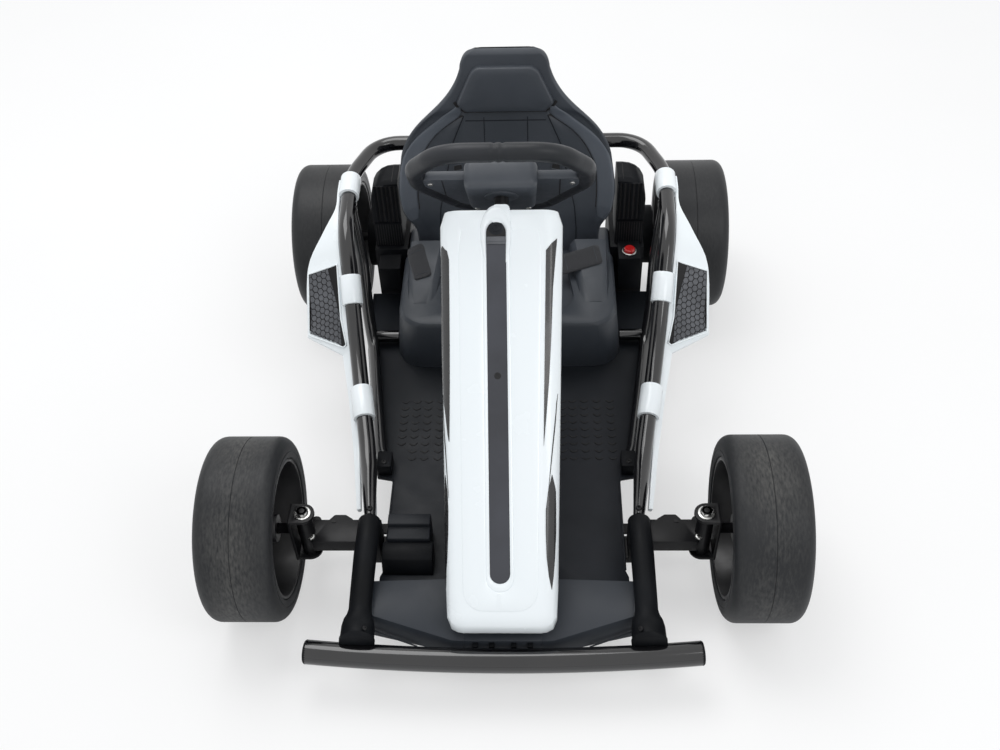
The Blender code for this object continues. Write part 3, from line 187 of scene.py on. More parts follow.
LOOKS = {
    "gloss_black_tube": TUBE, "matt_black_plastic": MATT, "satin_black_plastic": SATIN, "black_steel": STEEL,
    "tyre_black": FRONT_RUBBER, "rim_black": RIM, "white_gloss_plastic": WHITE, "smoked_window": SMOKED,
    "grey_insert": INSERT, "black_webbing": WEBBING, "red_button": RED}
USUAL_SLOT = {look.name: slot for slot, look in LOOKS.items()}
for look in (NOSE_PAINTED_LIGHT, SEAT, BOLSTER_PAINTED_SHEEN, RIM_GRIP, HUB_PAINTED_LIGHT, SHADE_AND_SEAM_BLACK):
    USUAL_SLOT[look.name] = "satin_black_plastic"
USUAL_SLOT[ZINC.name] = "black_steel"
USUAL_SLOT[STRIPE.name] = "white_gloss_plastic"
LOOKS["battery_case"] = MATT

for name, part in NODES.items():
    mesh = part.data
    if not mesh.materials:
        mesh.materials.append(None)
    for i in range(len(mesh.materials)):
        mesh.materials[i] = LOOKS[SLOTS[name]]

# Camera, as fitted to the photo
PHOTO_WIDTH, FOCAL_PX = 1000, 1101.0
PITCH, YAW, ROLL = radians(46), radians(-3.05), radians(-2.54)
forward = Vector((sin(YAW) * cos(PITCH), cos(YAW) * cos(PITCH), -sin(PITCH)))
level_right = Vector((cos(YAW), -sin(YAW), 0))
level_up = level_right.cross(forward)
turned = Matrix((level_right * cos(ROLL) + level_up * sin(ROLL), level_up * cos(ROLL) - level_right * sin(ROLL),
                 -forward)).transposed()
lens = bpy.data.cameras.new("photo_camera")
lens.sensor_width = 36
lens.lens = FOCAL_PX * lens.sensor_width / PHOTO_WIDTH
lens.clip_start = 0.05
camera = bpy.data.objects.new("photo_camera", lens)
camera.matrix_world = Matrix.Translation(at(0.043, -0.742, 1.1246)) @ turned.to_4x4()
bpy.context.scene.collection.objects.link(camera)
bpy.context.scene.camera = camera
bpy.context.scene.view_settings.view_transform = "Standard"

# Light: a white surround where it is seen, a dimmer one where it lights, and two soft lamps
world = bpy.data.worlds.new("studio")
world.use_nodes = True
bpy.context.scene.world = world
tree = world.node_tree
rays = node(tree, "LightPath").outputs
seen_ray = rays["Is Camera Ray"]
for kind in ("Is Glossy Ray", "Is Transmission Ray"):
    seen_ray = maths(tree, "MAXIMUM", seen_ray, rays[kind])
feed(tree, tree.nodes["Background"], {"Color": (1, 1, 1, 1), "Strength": 1.0})
lit = node(tree, "Background", {"Color": (0.97, 0.985, 1.0, 1), "Strength": 0.74})
mixed = node(tree, "MixShader", {"Fac": seen_ray, 1: lit.outputs["Background"],
                                 2: tree.nodes["Background"].outputs["Background"]})
feed(tree, tree.nodes["World Output"], {"Surface": mixed.outputs["Shader"]})
for name, place, size, power in (("key", (-0.5, 0.7, 2.3), 1.4, 19), ("fill", (1.2, -1.1, 1.9), 0.9, 8)):
    data = bpy.data.lights.new(name, "AREA")
    data.shape = "RECTANGLE"
    data.size = data.size_y = size
    data.energy = power
    lamp = bpy.data.objects.new(name, data)
    lamp.location = place
    lamp.rotation_euler = (Vector((0, 0, 0.1)) - Vector(place)).to_track_quat("-Z", "Y").to_euler()
    bpy.context.scene.collection.objects.link(lamp)

# Floor
FLOOR_HALF = 30
floor_look, tree, shader = new_look("pale_floor")
feed(tree, shader, {"Base Color": ramp(tree, noise(tree, 3.0, 2.0), (0.3, 0.93), (0.7, 0.95)),
                    "Roughness": 0.9, "Specular IOR Level": 0.1})
glow = maths(tree, "MULTIPLY", node(tree, "LightPath").outputs["Is Camera Ray"], 0.5)
mixed = node(tree, "MixShader", {"Fac": glow, 1: shader.outputs["BSDF"],
                                 2: node(tree, "Emission").outputs["Emission"]})
feed(tree, tree.nodes["Material Output"], {"Surface": mixed.outputs["Shader"]})
floor_mesh = bpy.data.meshes.new("floor")
floor_mesh.from_pydata([(a * FLOOR_HALF, b * FLOOR_HALF, 0) for a, b in ((-1, -1), (1, -1), (1, 1), (-1, 1))], [],
                       [(0, 1, 2, 3)])
floor_mesh.materials.append(floor_look)
floor = bpy.data.objects.new("floor", floor_mesh)
bpy.context.scene.collection.objects.link(floor)


# Mesh tools. A shell is a list of rings of equally many points, and a piece is one or more shells.
def skin(bm, rings, loop=False):
    """Adds a shell, closed at both ends or, with loop, joined into a ring."""
    rows = [[bm.verts.new(point) for point in ring] for ring in rings]
    for low, high in list(zip(rows, rows[1:])) + ([(rows[-1], rows[0])] if loop else []):
        for i in range(len(low)):
            j = (i + 1) % len(low)
            bm.faces.new((low[i], low[j], high[j], high[i]))
    if not loop:
        bm.faces.new(rows[0][::-1])
        bm.faces.new(rows[-1])
    return rows


def made_from(name, bm, look, body="chassis", smooth=35.0, replaces=()):
    """The piece of a bmesh, riding on a body and standing for CAD nodes."""
    bmesh.ops.recalc_face_normals(bm, faces=bm.faces)
    mesh = bpy.data.meshes.new(name)
    bm.to_mesh(mesh)
    bm.free()
    mesh.materials.append(look)
    if smooth:
        mesh.shade_smooth()
        mesh.set_sharp_from_angle(angle=radians(smooth))
    made = bpy.data.objects.new(name, mesh)
    bpy.context.scene.collection.objects.link(made)
    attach(made, body)
    if replaces:
        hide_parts(*replaces)
    return made


def softened(made, width, angle=30.0):
    """Rounds the sharp edges of a piece."""
    bevel = made.modifiers.new("Bevel", "BEVEL")
    bevel.width = width
    bevel.segments = 2
    bevel.limit_method = "ANGLE"
    bevel.angle_limit = radians(angle)
    bpy.context.view_layer.update()
    old = made.data
    result = bpy.data.meshes.new_from_object(made.evaluated_get(bpy.context.evaluated_depsgraph_get()))
    made.modifiers.clear()
    made.data = result
    bpy.data.meshes.remove(old)
    made.data.shade_smooth()
    made.data.set_sharp_from_angle(angle=radians(35))


def soft_edged(name, look, width):
    """The CAD node's own form with its edges rounded, standing for the node."""
    bm = bmesh.new()
    bm.from_mesh(NODES[name].data)
    bmesh.ops.remove_doubles(bm, verts=bm.verts, dist=0.00002)
    bmesh.ops.dissolve_limit(bm, angle_limit=radians(1.0), verts=bm.verts, edges=bm.edges)
    softened(made_from(f"{name}_soft", bm, look, BODY[name], 0, [name]), width, 28.0)


def add(name, look, shells, body="chassis", smooth=35.0, replaces=(), loop=False, soft=0.0):
    """A piece from shells; soft is the width of its rounded edges."""
    bm = bmesh.new()
    for rings in shells:
        skin(bm, rings, loop)
    made = made_from(name, bm, look, body, smooth, replaces)
    if soft:
        softened(made, soft)


def rounded(corners, radii, steps=8, closed=False):
    """The path through the corners with each inner corner turned into an arc."""
    corners = [Vector(corner) for corner in corners]
    count = len(corners)
    path = []
    for i, corner in enumerate(corners):
        radius = radii[i] if isinstance(radii, (list, tuple)) else radii
        back = (corners[i - 1] - corner).normalized()
        ahead = (corners[(i + 1) % count] - corner).normalized()
        if radius <= 0 or (not closed and i in (0, count - 1)) or abs(back.angle(ahead) - pi) < 1e-4:
            path.append(corner)
            continue
        turn = back.angle(ahead)
        reach = radius / tan(turn / 2)
        centre = corner + (back + ahead).normalized() * radius / sin(turn / 2)
        start = (corner + back * reach - centre).normalized()
        end = (corner + ahead * reach - centre).normalized()
        for k in range(steps + 1):
            path.append(centre + radius * start.slerp(end, k / steps))
    return path


def flat_outline(corners, radii, steps=5):
    return [(p.x, p.y) for p in rounded([(*c, 0) for c in corners], radii, steps, closed=True)]


def box(a0, a1, b0, b1):
    return [(a0, b0), (a1, b0), (a1, b1), (a0, b1)]


def refined(points, piece, closed=True):
    """The path with more points: piece is how many to a stretch or, as a float, their spacing."""
    made = []
    for p, q in zip(points, list(points[1:]) + (list(points[:1]) if closed else [])):
        count = piece if isinstance(piece, int) else max(1, int(dist(p, q) / piece))
        made += [tuple(a + (b - a) * t / count for a, b in zip(p, q)) for t in range(count)]
    return made if closed else made + [tuple(points[-1])]


def between(rows, place, column):
    """The rows' value in a column at a place of the first column, which may rise or fall."""
    rows = rows if rows[0][0] < rows[-1][0] else rows[::-1]
    place = min(max(place, rows[0][0]), rows[-1][0])
    for low, high in zip(rows, rows[1:]):
        if low[0] <= place <= high[0]:
            return low[column] + (high[column] - low[column]) * (place - low[0]) / (high[0] - low[0])


def on_side(side, points):
    return [at(side * x, y, z) for x, y, z in points]


def slope_axes(slope):
    """Directions along and square to a plane that rises to the rear."""
    return Vector((0, cos(slope), sin(slope))), Vector((0, -sin(slope), cos(slope)))


def circle(count):
    return [(cos(2 * pi * k / count), sin(2 * pi * k / count)) for k in range(count)]


def slab(outline, low, high, place=at):
    """Shell of a flat outline between two levels; place gives the point of (a, b, level)."""
    return [[place(a, b, level) for a, b in outline] for level in (low, high)]


def domed(outline, middle, steps, place):
    """Shell of an outline scaled about its middle; steps: (scale, level)."""
    return [[place(*(m + (p - m) * scale for p, m in zip(point, middle)), level) for point in outline]
            for scale, level in steps]


def tube(path, radius, sides=28, sizes=None, loop=False):
    """A round bar along the path; sizes gives (width, height) factors at each point."""
    path = [Vector(point) for point in path]
    count = len(path)
    rings = []
    side = None
    for i, point in enumerate(path):
        ahead = path[(i + 1) % count] if loop else path[min(i + 1, count - 1)]
        behind = path[i - 1] if loop or i else path[0]
        tangent = (ahead - behind).normalized()
        if side is None:
            side = tangent.cross(UP)
            if side.length < 0.05:
                side = tangent.cross(Vector((0, 1, 0)))
        side = (side - tangent * side.dot(tangent)).normalized()
        up = side.cross(tangent)
        wide, high = sizes[i] if sizes else (1, 1)
        rings.append([point + radius * (side * wide * c + up * high * s) for c, s in circle(sides)])
    return rings


def bolt(centre, axis, radius, high, socket=True, sides=24):
    """A round head with a rounded rim and, where asked, a round socket."""
    axis = axis.normalized()
    side = axis.cross(UP)
    if side.length < 0.1:
        side = axis.cross(Vector((0, 1, 0)))
    side.normalize()
    other = axis.cross(side)
    profile = [(1.0, 0.0), (1.0, 0.6), (0.92, 0.85), (0.75, 1.0)]
    if socket:
        profile += [(0.45, 1.0), (0.42, 0.5), (0.05, 0.5)]
    return [[centre + axis * high * h + radius * r * (side * c + other * s) for c, s in circle(sides)]
            for r, h in profile]


# Tyres: a mould seam in the middle, rounded shoulders and a line on each sidewall
TYRE_R, TYRE_BORE_R, TYRE_SHOULDER = 0.105, 0.080, 0.013
RUBBER = {"front": FRONT_RUBBER, "rear": REAR_RUBBER}


def tyre(end, word, side, x, y, width):
    half = width / 2
    full = [(half - inset, TYRE_BORE_R + rise, 0) for inset, rise in (
        (0.0030, 0), (0.0008, 0.0012), (0, 0.0040), (0, 0.0070), (0.0007, 0.0076), (0.0007, 0.0084), (0, 0.0090))]
    for k in range(9):
        a = pi / 2 * k / 8
        full.append((half - TYRE_SHOULDER * (1 - cos(a)), TYRE_R - TYRE_SHOULDER * (1 - sin(a)), k / 8 * 0.35))
    full += [((half - TYRE_SHOULDER) * share, TYRE_R, 1.0 - share * 0.6)
             for share in (0.86, 0.7, 0.5, 0.3, 0.15, 0.05)]
    full += [(0.0006, TYRE_R, 1.0), (0.0002, TYRE_R - 0.0005, 0.0)]
    full += [(-px, r, worn) for px, r, worn in reversed(full)]
    bm = bmesh.new()
    tread = bm.verts.layers.float.new("tread")
    rows = skin(bm, [[at(side * x + px, y, TYRE_R) + Vector((0, r * c, r * s)) for px, r, worn in full]
                     for c, s in circle(96)], loop=True)
    for row in rows:
        for vert, (px, r, worn) in zip(row, full):
            vert[tread] = worn
    name = f"tyre_{end}_{word}"
    made_from(f"{name}_rubber", bm, RUBBER[end], BODY[name], 40, [name])


for word, side in SIDES:
    for end, x, y, width in WHEELS:
        tyre(end, word, side, x, y, width)

# Moulded and painted pieces with rounded edges
for name, look, width in (
        ("fairing", WHITE, 0.0012), ("seat_base", SEAT, 0.0020), ("floor_pan", SATIN, 0.0008),
        ("pedal_base", MATT, 0.0015), ("pedal_plate", SATIN, 0.0012), ("front_axle_beam", STEEL, 0.0008)):
    soft_edged(name, look, width)
for word, side in SIDES:
    soft_edged(f"housing_{word}", MATT, 0.0015)
    soft_edged(f"knuckle_{word}", STEEL, 0.0006)
    for end, *_ in WHEELS:
        soft_edged(f"rim_{end}_{word}", RIM, 0.0006)

# Frame tubes
RAIL_R, LOWER_RAIL_R = 0.010, 0.008
RAIL_HALF = ((0.1530, 0.0095, 0.1100), (0.1640, 0.1000, 0.1120), (0.1880, 0.2400, 0.1500),
             (0.2060, 0.3650, 0.2440), (0.2095, 0.4680, 0.2540), (0.1800, 0.5410, 0.2570))
RAIL_BENDS = (0, 0.20, 0.30, 0.10, 0.12, 0.045)
RAIL = rounded(on_side(1, RAIL_HALF) + on_side(-1, RAIL_HALF)[::-1], RAIL_BENDS + RAIL_BENDS[::-1])
RAIL_SIDE = {side: sorted((p for p in RAIL if p.x * side > 0), key=lambda p: p.y) for word, side in SIDES}
PINCH_END, PINCH_LENGTH = 0.0095, 0.030      # the rail's ends are pressed flat for the sleeves
FLOOR_LOW = 0.0703
LOWER_Z = FLOOR_LOW + LOWER_RAIL_R
LOWER_RAIL = ((0.1490, 0.1160, LOWER_Z), (0.1560, 0.1390, LOWER_Z), (0.1840, 0.3260, LOWER_Z),
              (0.1915, 0.3560, 0.1000), (0.1960, 0.3940, 0.1700))
CROSS_STUB = ((0.1500, 0.338, LOWER_Z + 0.004), (0.1860, 0.338, LOWER_Z + 0.004))
BUMPER_HALF, BUMPER_R = 0.214, 0.0133


def rail_at(y, side):
    """Centre and direction of the side rail at y in the axle's frame."""
    half = RAIL_SIDE[side]
    y -= AXLE_Y
    for low, high in zip(half, half[1:]):
        if low.y <= y <= high.y:
            return low.lerp(high, (y - low.y) / (high.y - low.y)), (high - low).normalized()
    return half[0], (half[1] - half[0]).normalized()


pinch = []
for point in RAIL:
    near = min(1.0, max(0.0, (point.y + AXLE_Y - PINCH_END) / PINCH_LENGTH))
    pinch.append((0.62 + 0.38 * near, 1.08 - 0.08 * near))
add("hoop_tube", TUBE, [tube(RAIL, RAIL_R, 32, pinch)], replaces=["hoop_rail"])
bow = [2 * k / 40 - 1 for k in range(41)]
add("bumper_tube", TUBE, [tube([at(BUMPER_HALF * t, -0.1400 + 0.0100 * t * t, 0.0560) for t in bow], BUMPER_R, 36)],
    replaces=["bumper"])
for word, side in SIDES:
    meet = rail_at(0.4180, side)[0] - Vector((side * 0.0020, 0, 0))
    bent = rounded(on_side(side, LOWER_RAIL) + [meet], [0, 0.05, 0.04, 0.10, 0.10, 0])
    add(f"lower_tube_{word}", TUBE, [tube(path, LOWER_RAIL_R, 26) for path in (bent, on_side(side, CROSS_STUB))],
        replaces=[f"lower_rail_{word}"])
    add(f"rail_block_{word}", MATT, [slab(flat_outline(box(side * 0.1400, side * 0.1580, 0.1040, 0.1290), 0.002),
                                          FLOOR_LOW, 0.0880)], soft=0.0012)
    add(f"rail_block_bolt_{word}", STEEL, [bolt(at(side * 0.1490, 0.1110, 0.0875), UP, 0.0034, 0.0018)])
    end, out = at(side * BUMPER_HALF, -0.130, 0.056), Vector((side, 0.0934, 0)).normalized()
    add(f"bumper_plug_{word}", MATT, [tube([end + out * reach for reach in (-0.001, 0.0012, 0.0024, 0.0030)],
                                           BUMPER_R, 32, [(s, s) for s in (1.0, 1.0, 0.93, 0.70)])])

# Sleeves from the axle beam down to the bumper, with a flared foot and a rim; bolts of frame and wheels
SLEEVE_ROWS = (          # x, y, z, radius
    (0.1530, 0.0080, 0.1100, 0.0118), (0.1530, 0.0060, 0.1099, 0.0128), (0.1545, -0.0350, 0.1030, 0.0130),
    (0.1560, -0.0850, 0.0880, 0.0125), (0.1560, -0.0950, 0.0842, 0.0127), (0.1563, -0.1010, 0.0818, 0.0142),
    (0.1568, -0.1060, 0.0797, 0.0168), (0.1573, -0.1120, 0.0768, 0.0182), (0.1580, -0.1225, 0.0713, 0.0187),
    (0.1580, -0.1235, 0.0708, 0.0196), (0.1582, -0.1268, 0.0690, 0.0194), (0.1582, -0.1280, 0.0683, 0.0180))
KINGPIN_X, RIM_BOLT_CIRCLE = 0.226, 0.046
for word, side in SIDES:
    add(f"sleeve_{word}", MATT, [[[at(side * x + r * c, y, z + r * 0.95 * s) for c, s in circle(36)]
                                  for x, y, z, r in SLEEVE_ROWS]], smooth=50, replaces=[f"front_sleeve_{word}"])
    add(f"frame_bolts_{word}", STEEL, [
        bolt(at(side * 0.1530, 0.0160, 0.1195), Vector((0, 0.1, 1)), 0.0036, 0.0028),
        bolt(at(side * 0.1480, -0.1200, 0.0890), Vector((-side * 0.5, -0.3, 1)), 0.0026, 0.0016)])
    add(f"beam_bolt_{word}", ZINC, [bolt(at(side * 0.2200, -0.0070, 0.0975), UP, 0.0042, 0.0024)])
    # A dark patch on the beam's top: painted shade of the hole.
    hole = flat_outline([(side * x, y - 0.006) for x, y in (
        (0.1945, 0.0190), (0.2005, 0.0190), (0.1985, 0.0235), (0.1945, 0.0235))], 0.0012)
    add(f"beam_hole_shade_{word}", SHADE_AND_SEAM_BLACK, [slab(hole, 0.0974, 0.0981)])
    head = at(side * KINGPIN_X, 0, 0.1330)
    add(f"kingpin_head_{word}", ZINC, [bolt(head, UP, 0.0072, 0.0050), bolt(head, UP, 0.0095, 0.0010, False)],
        body=f"knuckle_{word}")
    out = Vector((side, 0, 0))
    for end, x, y, width in WHEELS:
        face = x + width / 2
        add(f"wheel_nut_{end}_{word}", ZINC, [
            bolt(at(side * (face - 0.0100), y, AXLE_Z), out, 0.0120, 0.0020, False, 28),
            bolt(at(side * (face - 0.0080), y, AXLE_Z), out, 0.0088, 0.0060, True, 6)], body=f"wheel_{end}_{word}")
        turns = [2 * pi * (k + 0.5) / 6 for k in range(6)]
        add(f"rim_bolts_{end}_{word}", ZINC, [
            bolt(at(side * (face - 0.0118), y + RIM_BOLT_CIRCLE * cos(a), AXLE_Z + RIM_BOLT_CIRCLE * sin(a)), out,
                 0.0034, 0.0022) for a in turns], body=f"wheel_{end}_{word}")

# Side pods: one smooth sheet along the rail and three clips round the tube
POD_ROWS = (             # y, then x and z of the outer edge
    (0.0250, 0.1695, 0.1040), (0.0600, 0.1750, 0.1040), (0.1200, 0.1840, 0.1070), (0.1800, 0.1940, 0.1200),
    (0.2430, 0.2070, 0.1390), (0.2740, 0.2570, 0.1420), (0.3395, 0.2563, 0.2020), (0.3750, 0.2370, 0.2320),
    (0.4050, 0.2235, 0.2460), (0.4400, 0.2240, 0.2500), (0.4600, 0.2240, 0.2520))
SMOOTH_FROM = 5          # the outer edge is one curve from this row back, straight or cornered before it
POD_HALF_T, POD_EDGE = 0.0025, 0.0010
POD_SHARES = (0.0, 0.25, 0.5, 0.75, 0.97, 1.0)
CLIPS = ((0.1690, 0.0425), (0.3030, 0.0380), (0.4467, 0.0360))               # y, length
CLIP_ENDS = ((-0.5, 0.0112), (-0.49, 0.0132), (-0.46, 0.0136), (0.46, 0.0136), (0.49, 0.0132), (0.5, 0.0112))
INSERT_ROWS = ((0.2480, 0.16, 0.40), (0.2770, 0.12, 0.93), (0.3320, 0.10, 0.93))    # y, inner and outer share
INSERT_FRONT, INSERT_BEND, INSERT_REAR = (row[0] for row in INSERT_ROWS)


def curve_value(k, share, column):
    """Catmull-Rom value between rows k and k + 1 of the pod."""
    a, b, c, d = (POD_ROWS[min(max(k + n, SMOOTH_FROM), len(POD_ROWS) - 1)][column] for n in (-1, 0, 1, 2))
    return b + 0.5 * share * (c - a + share * (2 * a - 5 * b + 4 * c - d + share * (3 * (b - c) + d - a)))


def pod_section(y):
    """The sheet's inner edge at the tube and its outer edge."""
    k = max(n for n, row in enumerate(POD_ROWS[:-1]) if row[0] <= y)
    share = (y - POD_ROWS[k][0]) / (POD_ROWS[k + 1][0] - POD_ROWS[k][0])
    x, z = (curve_value(k, share, n) if k >= SMOOTH_FROM else between(POD_ROWS, y, n) for n in (1, 2))
    outer, rail = at(x, y, z), rail_at(y, 1)[0]
    return rail + (outer - rail).normalized() * (RAIL_R + 0.0012), outer


def pod_point(y, share, level, side):
    inner, outer = pod_section(y)
    across = outer - inner
    point = inner + across * share + Vector((-across.z, 0, across.x)).normalized() * level
    return Vector((side * point.x, point.y, point.z))


pod_ys = sorted({(row[0],) for row in POD_ROWS + INSERT_ROWS})
for word, side in SIDES:
    rings = []
    for y, in refined(pod_ys, 5, closed=False):
        rings.append([pod_point(y, share, sign * (POD_HALF_T - (POD_EDGE if share in (0.0, 1.0) else 0)), side)
                      for sign, shares in ((-1, POD_SHARES), (1, POD_SHARES[::-1])) for share in shares])
    shells = [rings]
    for y, length in CLIPS:
        centre, direction = rail_at(y, side)
        shells.append(tube([centre + direction * length * t for t, r in CLIP_ENDS], 1.0, 40,
                           [(r, r) for t, r in CLIP_ENDS]))
    add(f"pod_sheet_{word}", WHITE, shells, smooth=28, replaces=[f"side_pod_{word}"])

    blade = []           # the lower blade, seen inside the rail
    for k in range(25):
        centre = rail_at(0.0200 + 0.1150 * k / 24, 1)[0]
        low = centre.z - 0.0185 + 0.0070 * max(0.0, (k - 14) / 10) ** 1.5 + 0.0040 * max(0.0, (3 - k) / 3)
        blade.append([Vector((side * (centre.x - dx), centre.y, z)) for dx, z in (
            (0.0040, centre.z - 0.0092), (0.0062, centre.z - 0.0078), (0.0066, low + 0.0006), (0.0060, low),
            (0.0046, low + 0.0002))])
    add(f"pod_blade_{word}", WHITE, [blade], smooth=40)

# Honeycomb inserts: raised grey cells on a near-black tray, which is painted shade between the cells, laid out in a
# plane through the tray's corners
HEX_PITCH, HEX_R = 0.0078, 0.53
CELL_STEPS = ((0.94, 0.0034), (0.86, 0.0042), (0.62, 0.0044), (0.50, 0.0040))       # scale, level
SMALLEST_CELL = 0.0016
corners = [pod_point(y, between(INSERT_ROWS, y, column), 0.0045, 1) for y, column in (
    (INSERT_FRONT, 1), (INSERT_FRONT, 2), (INSERT_BEND, 2), (INSERT_REAR, 2), (INSERT_REAR, 1), (INSERT_BEND, 1))]
MIDDLE = sum(corners, Vector()) / len(corners)
ALONG = ((corners[4] - corners[0]).normalized() + (corners[3] - corners[2]).normalized()).normalized()
across = corners[3] - corners[4]
ACROSS = (across - ALONG * across.dot(ALONG)).normalized()
FENCE = [((point - MIDDLE).dot(ACROSS), (point - MIDDLE).dot(ALONG)) for point in corners]


def on_insert(a, b, level, side):
    """The place on the insert at a across and b along."""
    target = MIDDLE + ACROSS * a + ALONG * b
    y = min(max(target.y + AXLE_Y, INSERT_FRONT), INSERT_REAR)
    inner, outer = pod_section(y)
    return pod_point(y, (target - inner).dot(outer - inner) / (outer - inner).length_squared, level, side)


def past(a, b, p):
    """How far p lies to the left of the line from a to b, times the line's length."""
    return (b[0] - a[0]) * (p[1] - a[1]) - (b[1] - a[1]) * (p[0] - a[0])


def clipped(polygon, fence):
    """The polygon inside the convex, counter-clockwise fence."""
    for a, b in zip(fence, fence[1:] + fence[:1]):
        kept = []
        for p, q in zip(polygon, polygon[1:] + polygon[:1]):
            dp, dq = past(a, b, p), past(a, b, q)
            if dp >= 0:
                kept.append(p)
            if dp * dq < 0:
                t = dp / (dp - dq)
                kept.append((p[0] + (q[0] - p[0]) * t, p[1] + (q[1] - p[1]) * t))
        polygon = kept
        if len(polygon) < 3:
            return []
    return polygon


cells = []
for i in range(-8, 9):
    for j in range(-8, 9):
        ca, cb = i * HEX_PITCH * 0.866, (j + 0.5 * (i % 2)) * HEX_PITCH
        cell = clipped([(ca + HEX_PITCH * HEX_R * c, cb + HEX_PITCH * HEX_R * s) for c, s in circle(6)],
                       [(a * 0.965, b * 0.975) for a, b in FENCE])
        if cell:
            heart = [sum(p[n] for p in cell) / len(cell) for n in (0, 1)]
            if max(dist(p, heart) for p in cell) >= SMALLEST_CELL:
                cells.append((cell, heart))
for word, side in SIDES:
    rows = []
    for k in range(9):
        y = INSERT_FRONT + (INSERT_REAR - INSERT_FRONT) * k / 8
        s0, s1 = between(INSERT_ROWS, y, 1), between(INSERT_ROWS, y, 2)
        rows.append([pod_point(y, s0 + (s1 - s0) * t, level, side) for t, level in (
            (0, 0.0026), (0.5, 0.0026), (1, 0.0026), (1, 0.0034), (0.5, 0.0034), (0, 0.0034))])
    # The tray's near-black is painted shade in the gaps between the cells.
    add(f"insert_tray_shade_{word}", STEEL, [rows], replaces=[f"honeycomb_insert_{word}"])
    add(f"insert_cells_{word}", INSERT, [
        domed(cell, heart, CELL_STEPS, lambda a, b, level: on_insert(a, b, level, side)) for cell, heart in cells],
        smooth=25)
    rim = [on_insert(a * 1.04, b * 1.03, 0.0030, side) for a, b in FENCE]
    add(f"insert_rim_{word}", WHITE, [tube(refined(rim, 6), 0.0011, 10, loop=True)], smooth=60, loop=True)

# Floor: rows of small raised chevrons on both sides of the fairing, near-black as painted shade, and a lip round it
CHEVRON_COLUMNS = {1: (0.0700, 0.0835, 0.0985, 0.1150, 0.1320), -1: (0.0860, 0.1030, 0.1180, 0.1330)}
CHEVRON_ARM = ((-0.0004, -0.0030), (0.0008, -0.0012), (0.0052, 0.0022), (0.0050, 0.0004), (0.0020, -0.0024))
FLOOR_EDGE = ((0.1376, -0.0330, 0.0702), (0.1376, 0.0975, 0.0702), (0.1560, 0.1018, 0.0702),
              (0.1625, 0.1390, 0.0702), (0.1905, 0.3240, 0.0702), (0.1950, 0.3600, 0.0702), (0.1950, 0.4380, 0.0702))
for word, side in SIDES:
    arms = []
    for row in range(9):
        for k, x in enumerate(CHEVRON_COLUMNS[side]):
            if side < 0 and row < 2 and k > 2:       # the pedal stands here
                continue
            arms += [slab([(side * x + lean * a, 0.131 + 0.012 * row + b) for a, b in CHEVRON_ARM], 0.0700, 0.0707)
                     for lean in (-1, 1)]
    # The chevrons' near-black is painted shade of recessed chevrons.
    add(f"floor_chevron_shade_{word}", SHADE_AND_SEAM_BLACK, arms, smooth=20)
    add(f"floor_lip_{word}", SATIN, [tube(rounded(on_side(side, FLOOR_EDGE), 0.006), 0.0012, 10)], smooth=60)

# Fairing: raised middle panel, lip round the slot, arch over its top, bridge, and the black stripes
FAIR_FRONT, FAIR_REAR, FAIR_SKIRT = (-0.1150, 0.1080), (0.2350, 0.3745), 0.034
FAIR_DIR, FAIR_UP = slope_axes(atan2(FAIR_REAR[1] - FAIR_FRONT[1], FAIR_REAR[0] - FAIR_FRONT[0]))
FAIR_LENGTH = dist(FAIR_REAR, FAIR_FRONT)
SHOULDER = ((0.0, 0.0), (0.35, 0.03), (0.70, 0.13), (0.92, 0.27), (1.0, 0.42), (1.0, 1.0))      # out, down
STRIPES = {              # name, side: rows of place along the slope and the two edges' places on the shoulder
    ("stripe_upper_left", 1): (
        (0.4080, 1.86, 1.88), (0.4020, 0.95, 1.82), (0.3940, 0.06, 1.72), (0.3520, 0.05, 1.30),
        (0.2940, 0.05, 1.10), (0.2500, 0.05, 0.85), (0.2090, 0.06, 0.45), (0.1790, 0.08, 0.10)),
    ("stripe_upper_right", -1): (
        (0.4020, 2.74, 2.76), (0.3950, 1.60, 3.30), (0.3850, 1.28, 3.88), (0.3400, 1.32, 4.00),
        (0.2850, 1.40, 4.00), (0.2500, 1.48, 3.70), (0.2150, 1.60, 2.60), (0.1840, 1.72, 1.80)),
    ("stripe_lower_left", 1): (
        (0.1480, 1.50, 1.54), (0.1300, 0.90, 2.30), (0.1100, 0.56, 2.44), (0.0850, 0.60, 2.50),
        (0.0600, 0.80, 2.30), (0.0400, 1.20, 2.00), (0.0260, 1.70, 1.74)),
    ("stripe_lower_right", -1): (
        (0.1480, 2.90, 2.94), (0.1300, 2.30, 3.60), (0.1100, 2.15, 3.95), (0.0850, 2.30, 4.00),
        (0.0600, 2.66, 3.95), (0.0400, 3.10, 3.90), (0.0260, 3.80, 3.84)),
    ("pin_stripe_left", 1): (
        (0.2360, 2.50, 2.52), (0.2260, 2.14, 2.34), (0.1750, 1.45, 1.62), (0.1350, 0.98, 1.06),
        (0.1230, 0.84, 0.86)),
    ("pin_stripe_right", -1): (
        (0.2360, 3.70, 3.72), (0.2260, 3.30, 3.55), (0.1750, 2.60, 2.80), (0.1350, 2.10, 2.22),
        (0.1230, 1.96, 1.98))}
STRIPE_PROUD = 0.0004


def fair_point(across, along, up=0.0):
    return at(across, *FAIR_FRONT) + FAIR_DIR * along + FAIR_UP * up


def slot_middle(along):
    """The slot runs a little askew."""
    return -0.0012 - 0.0046 * along / FAIR_LENGTH


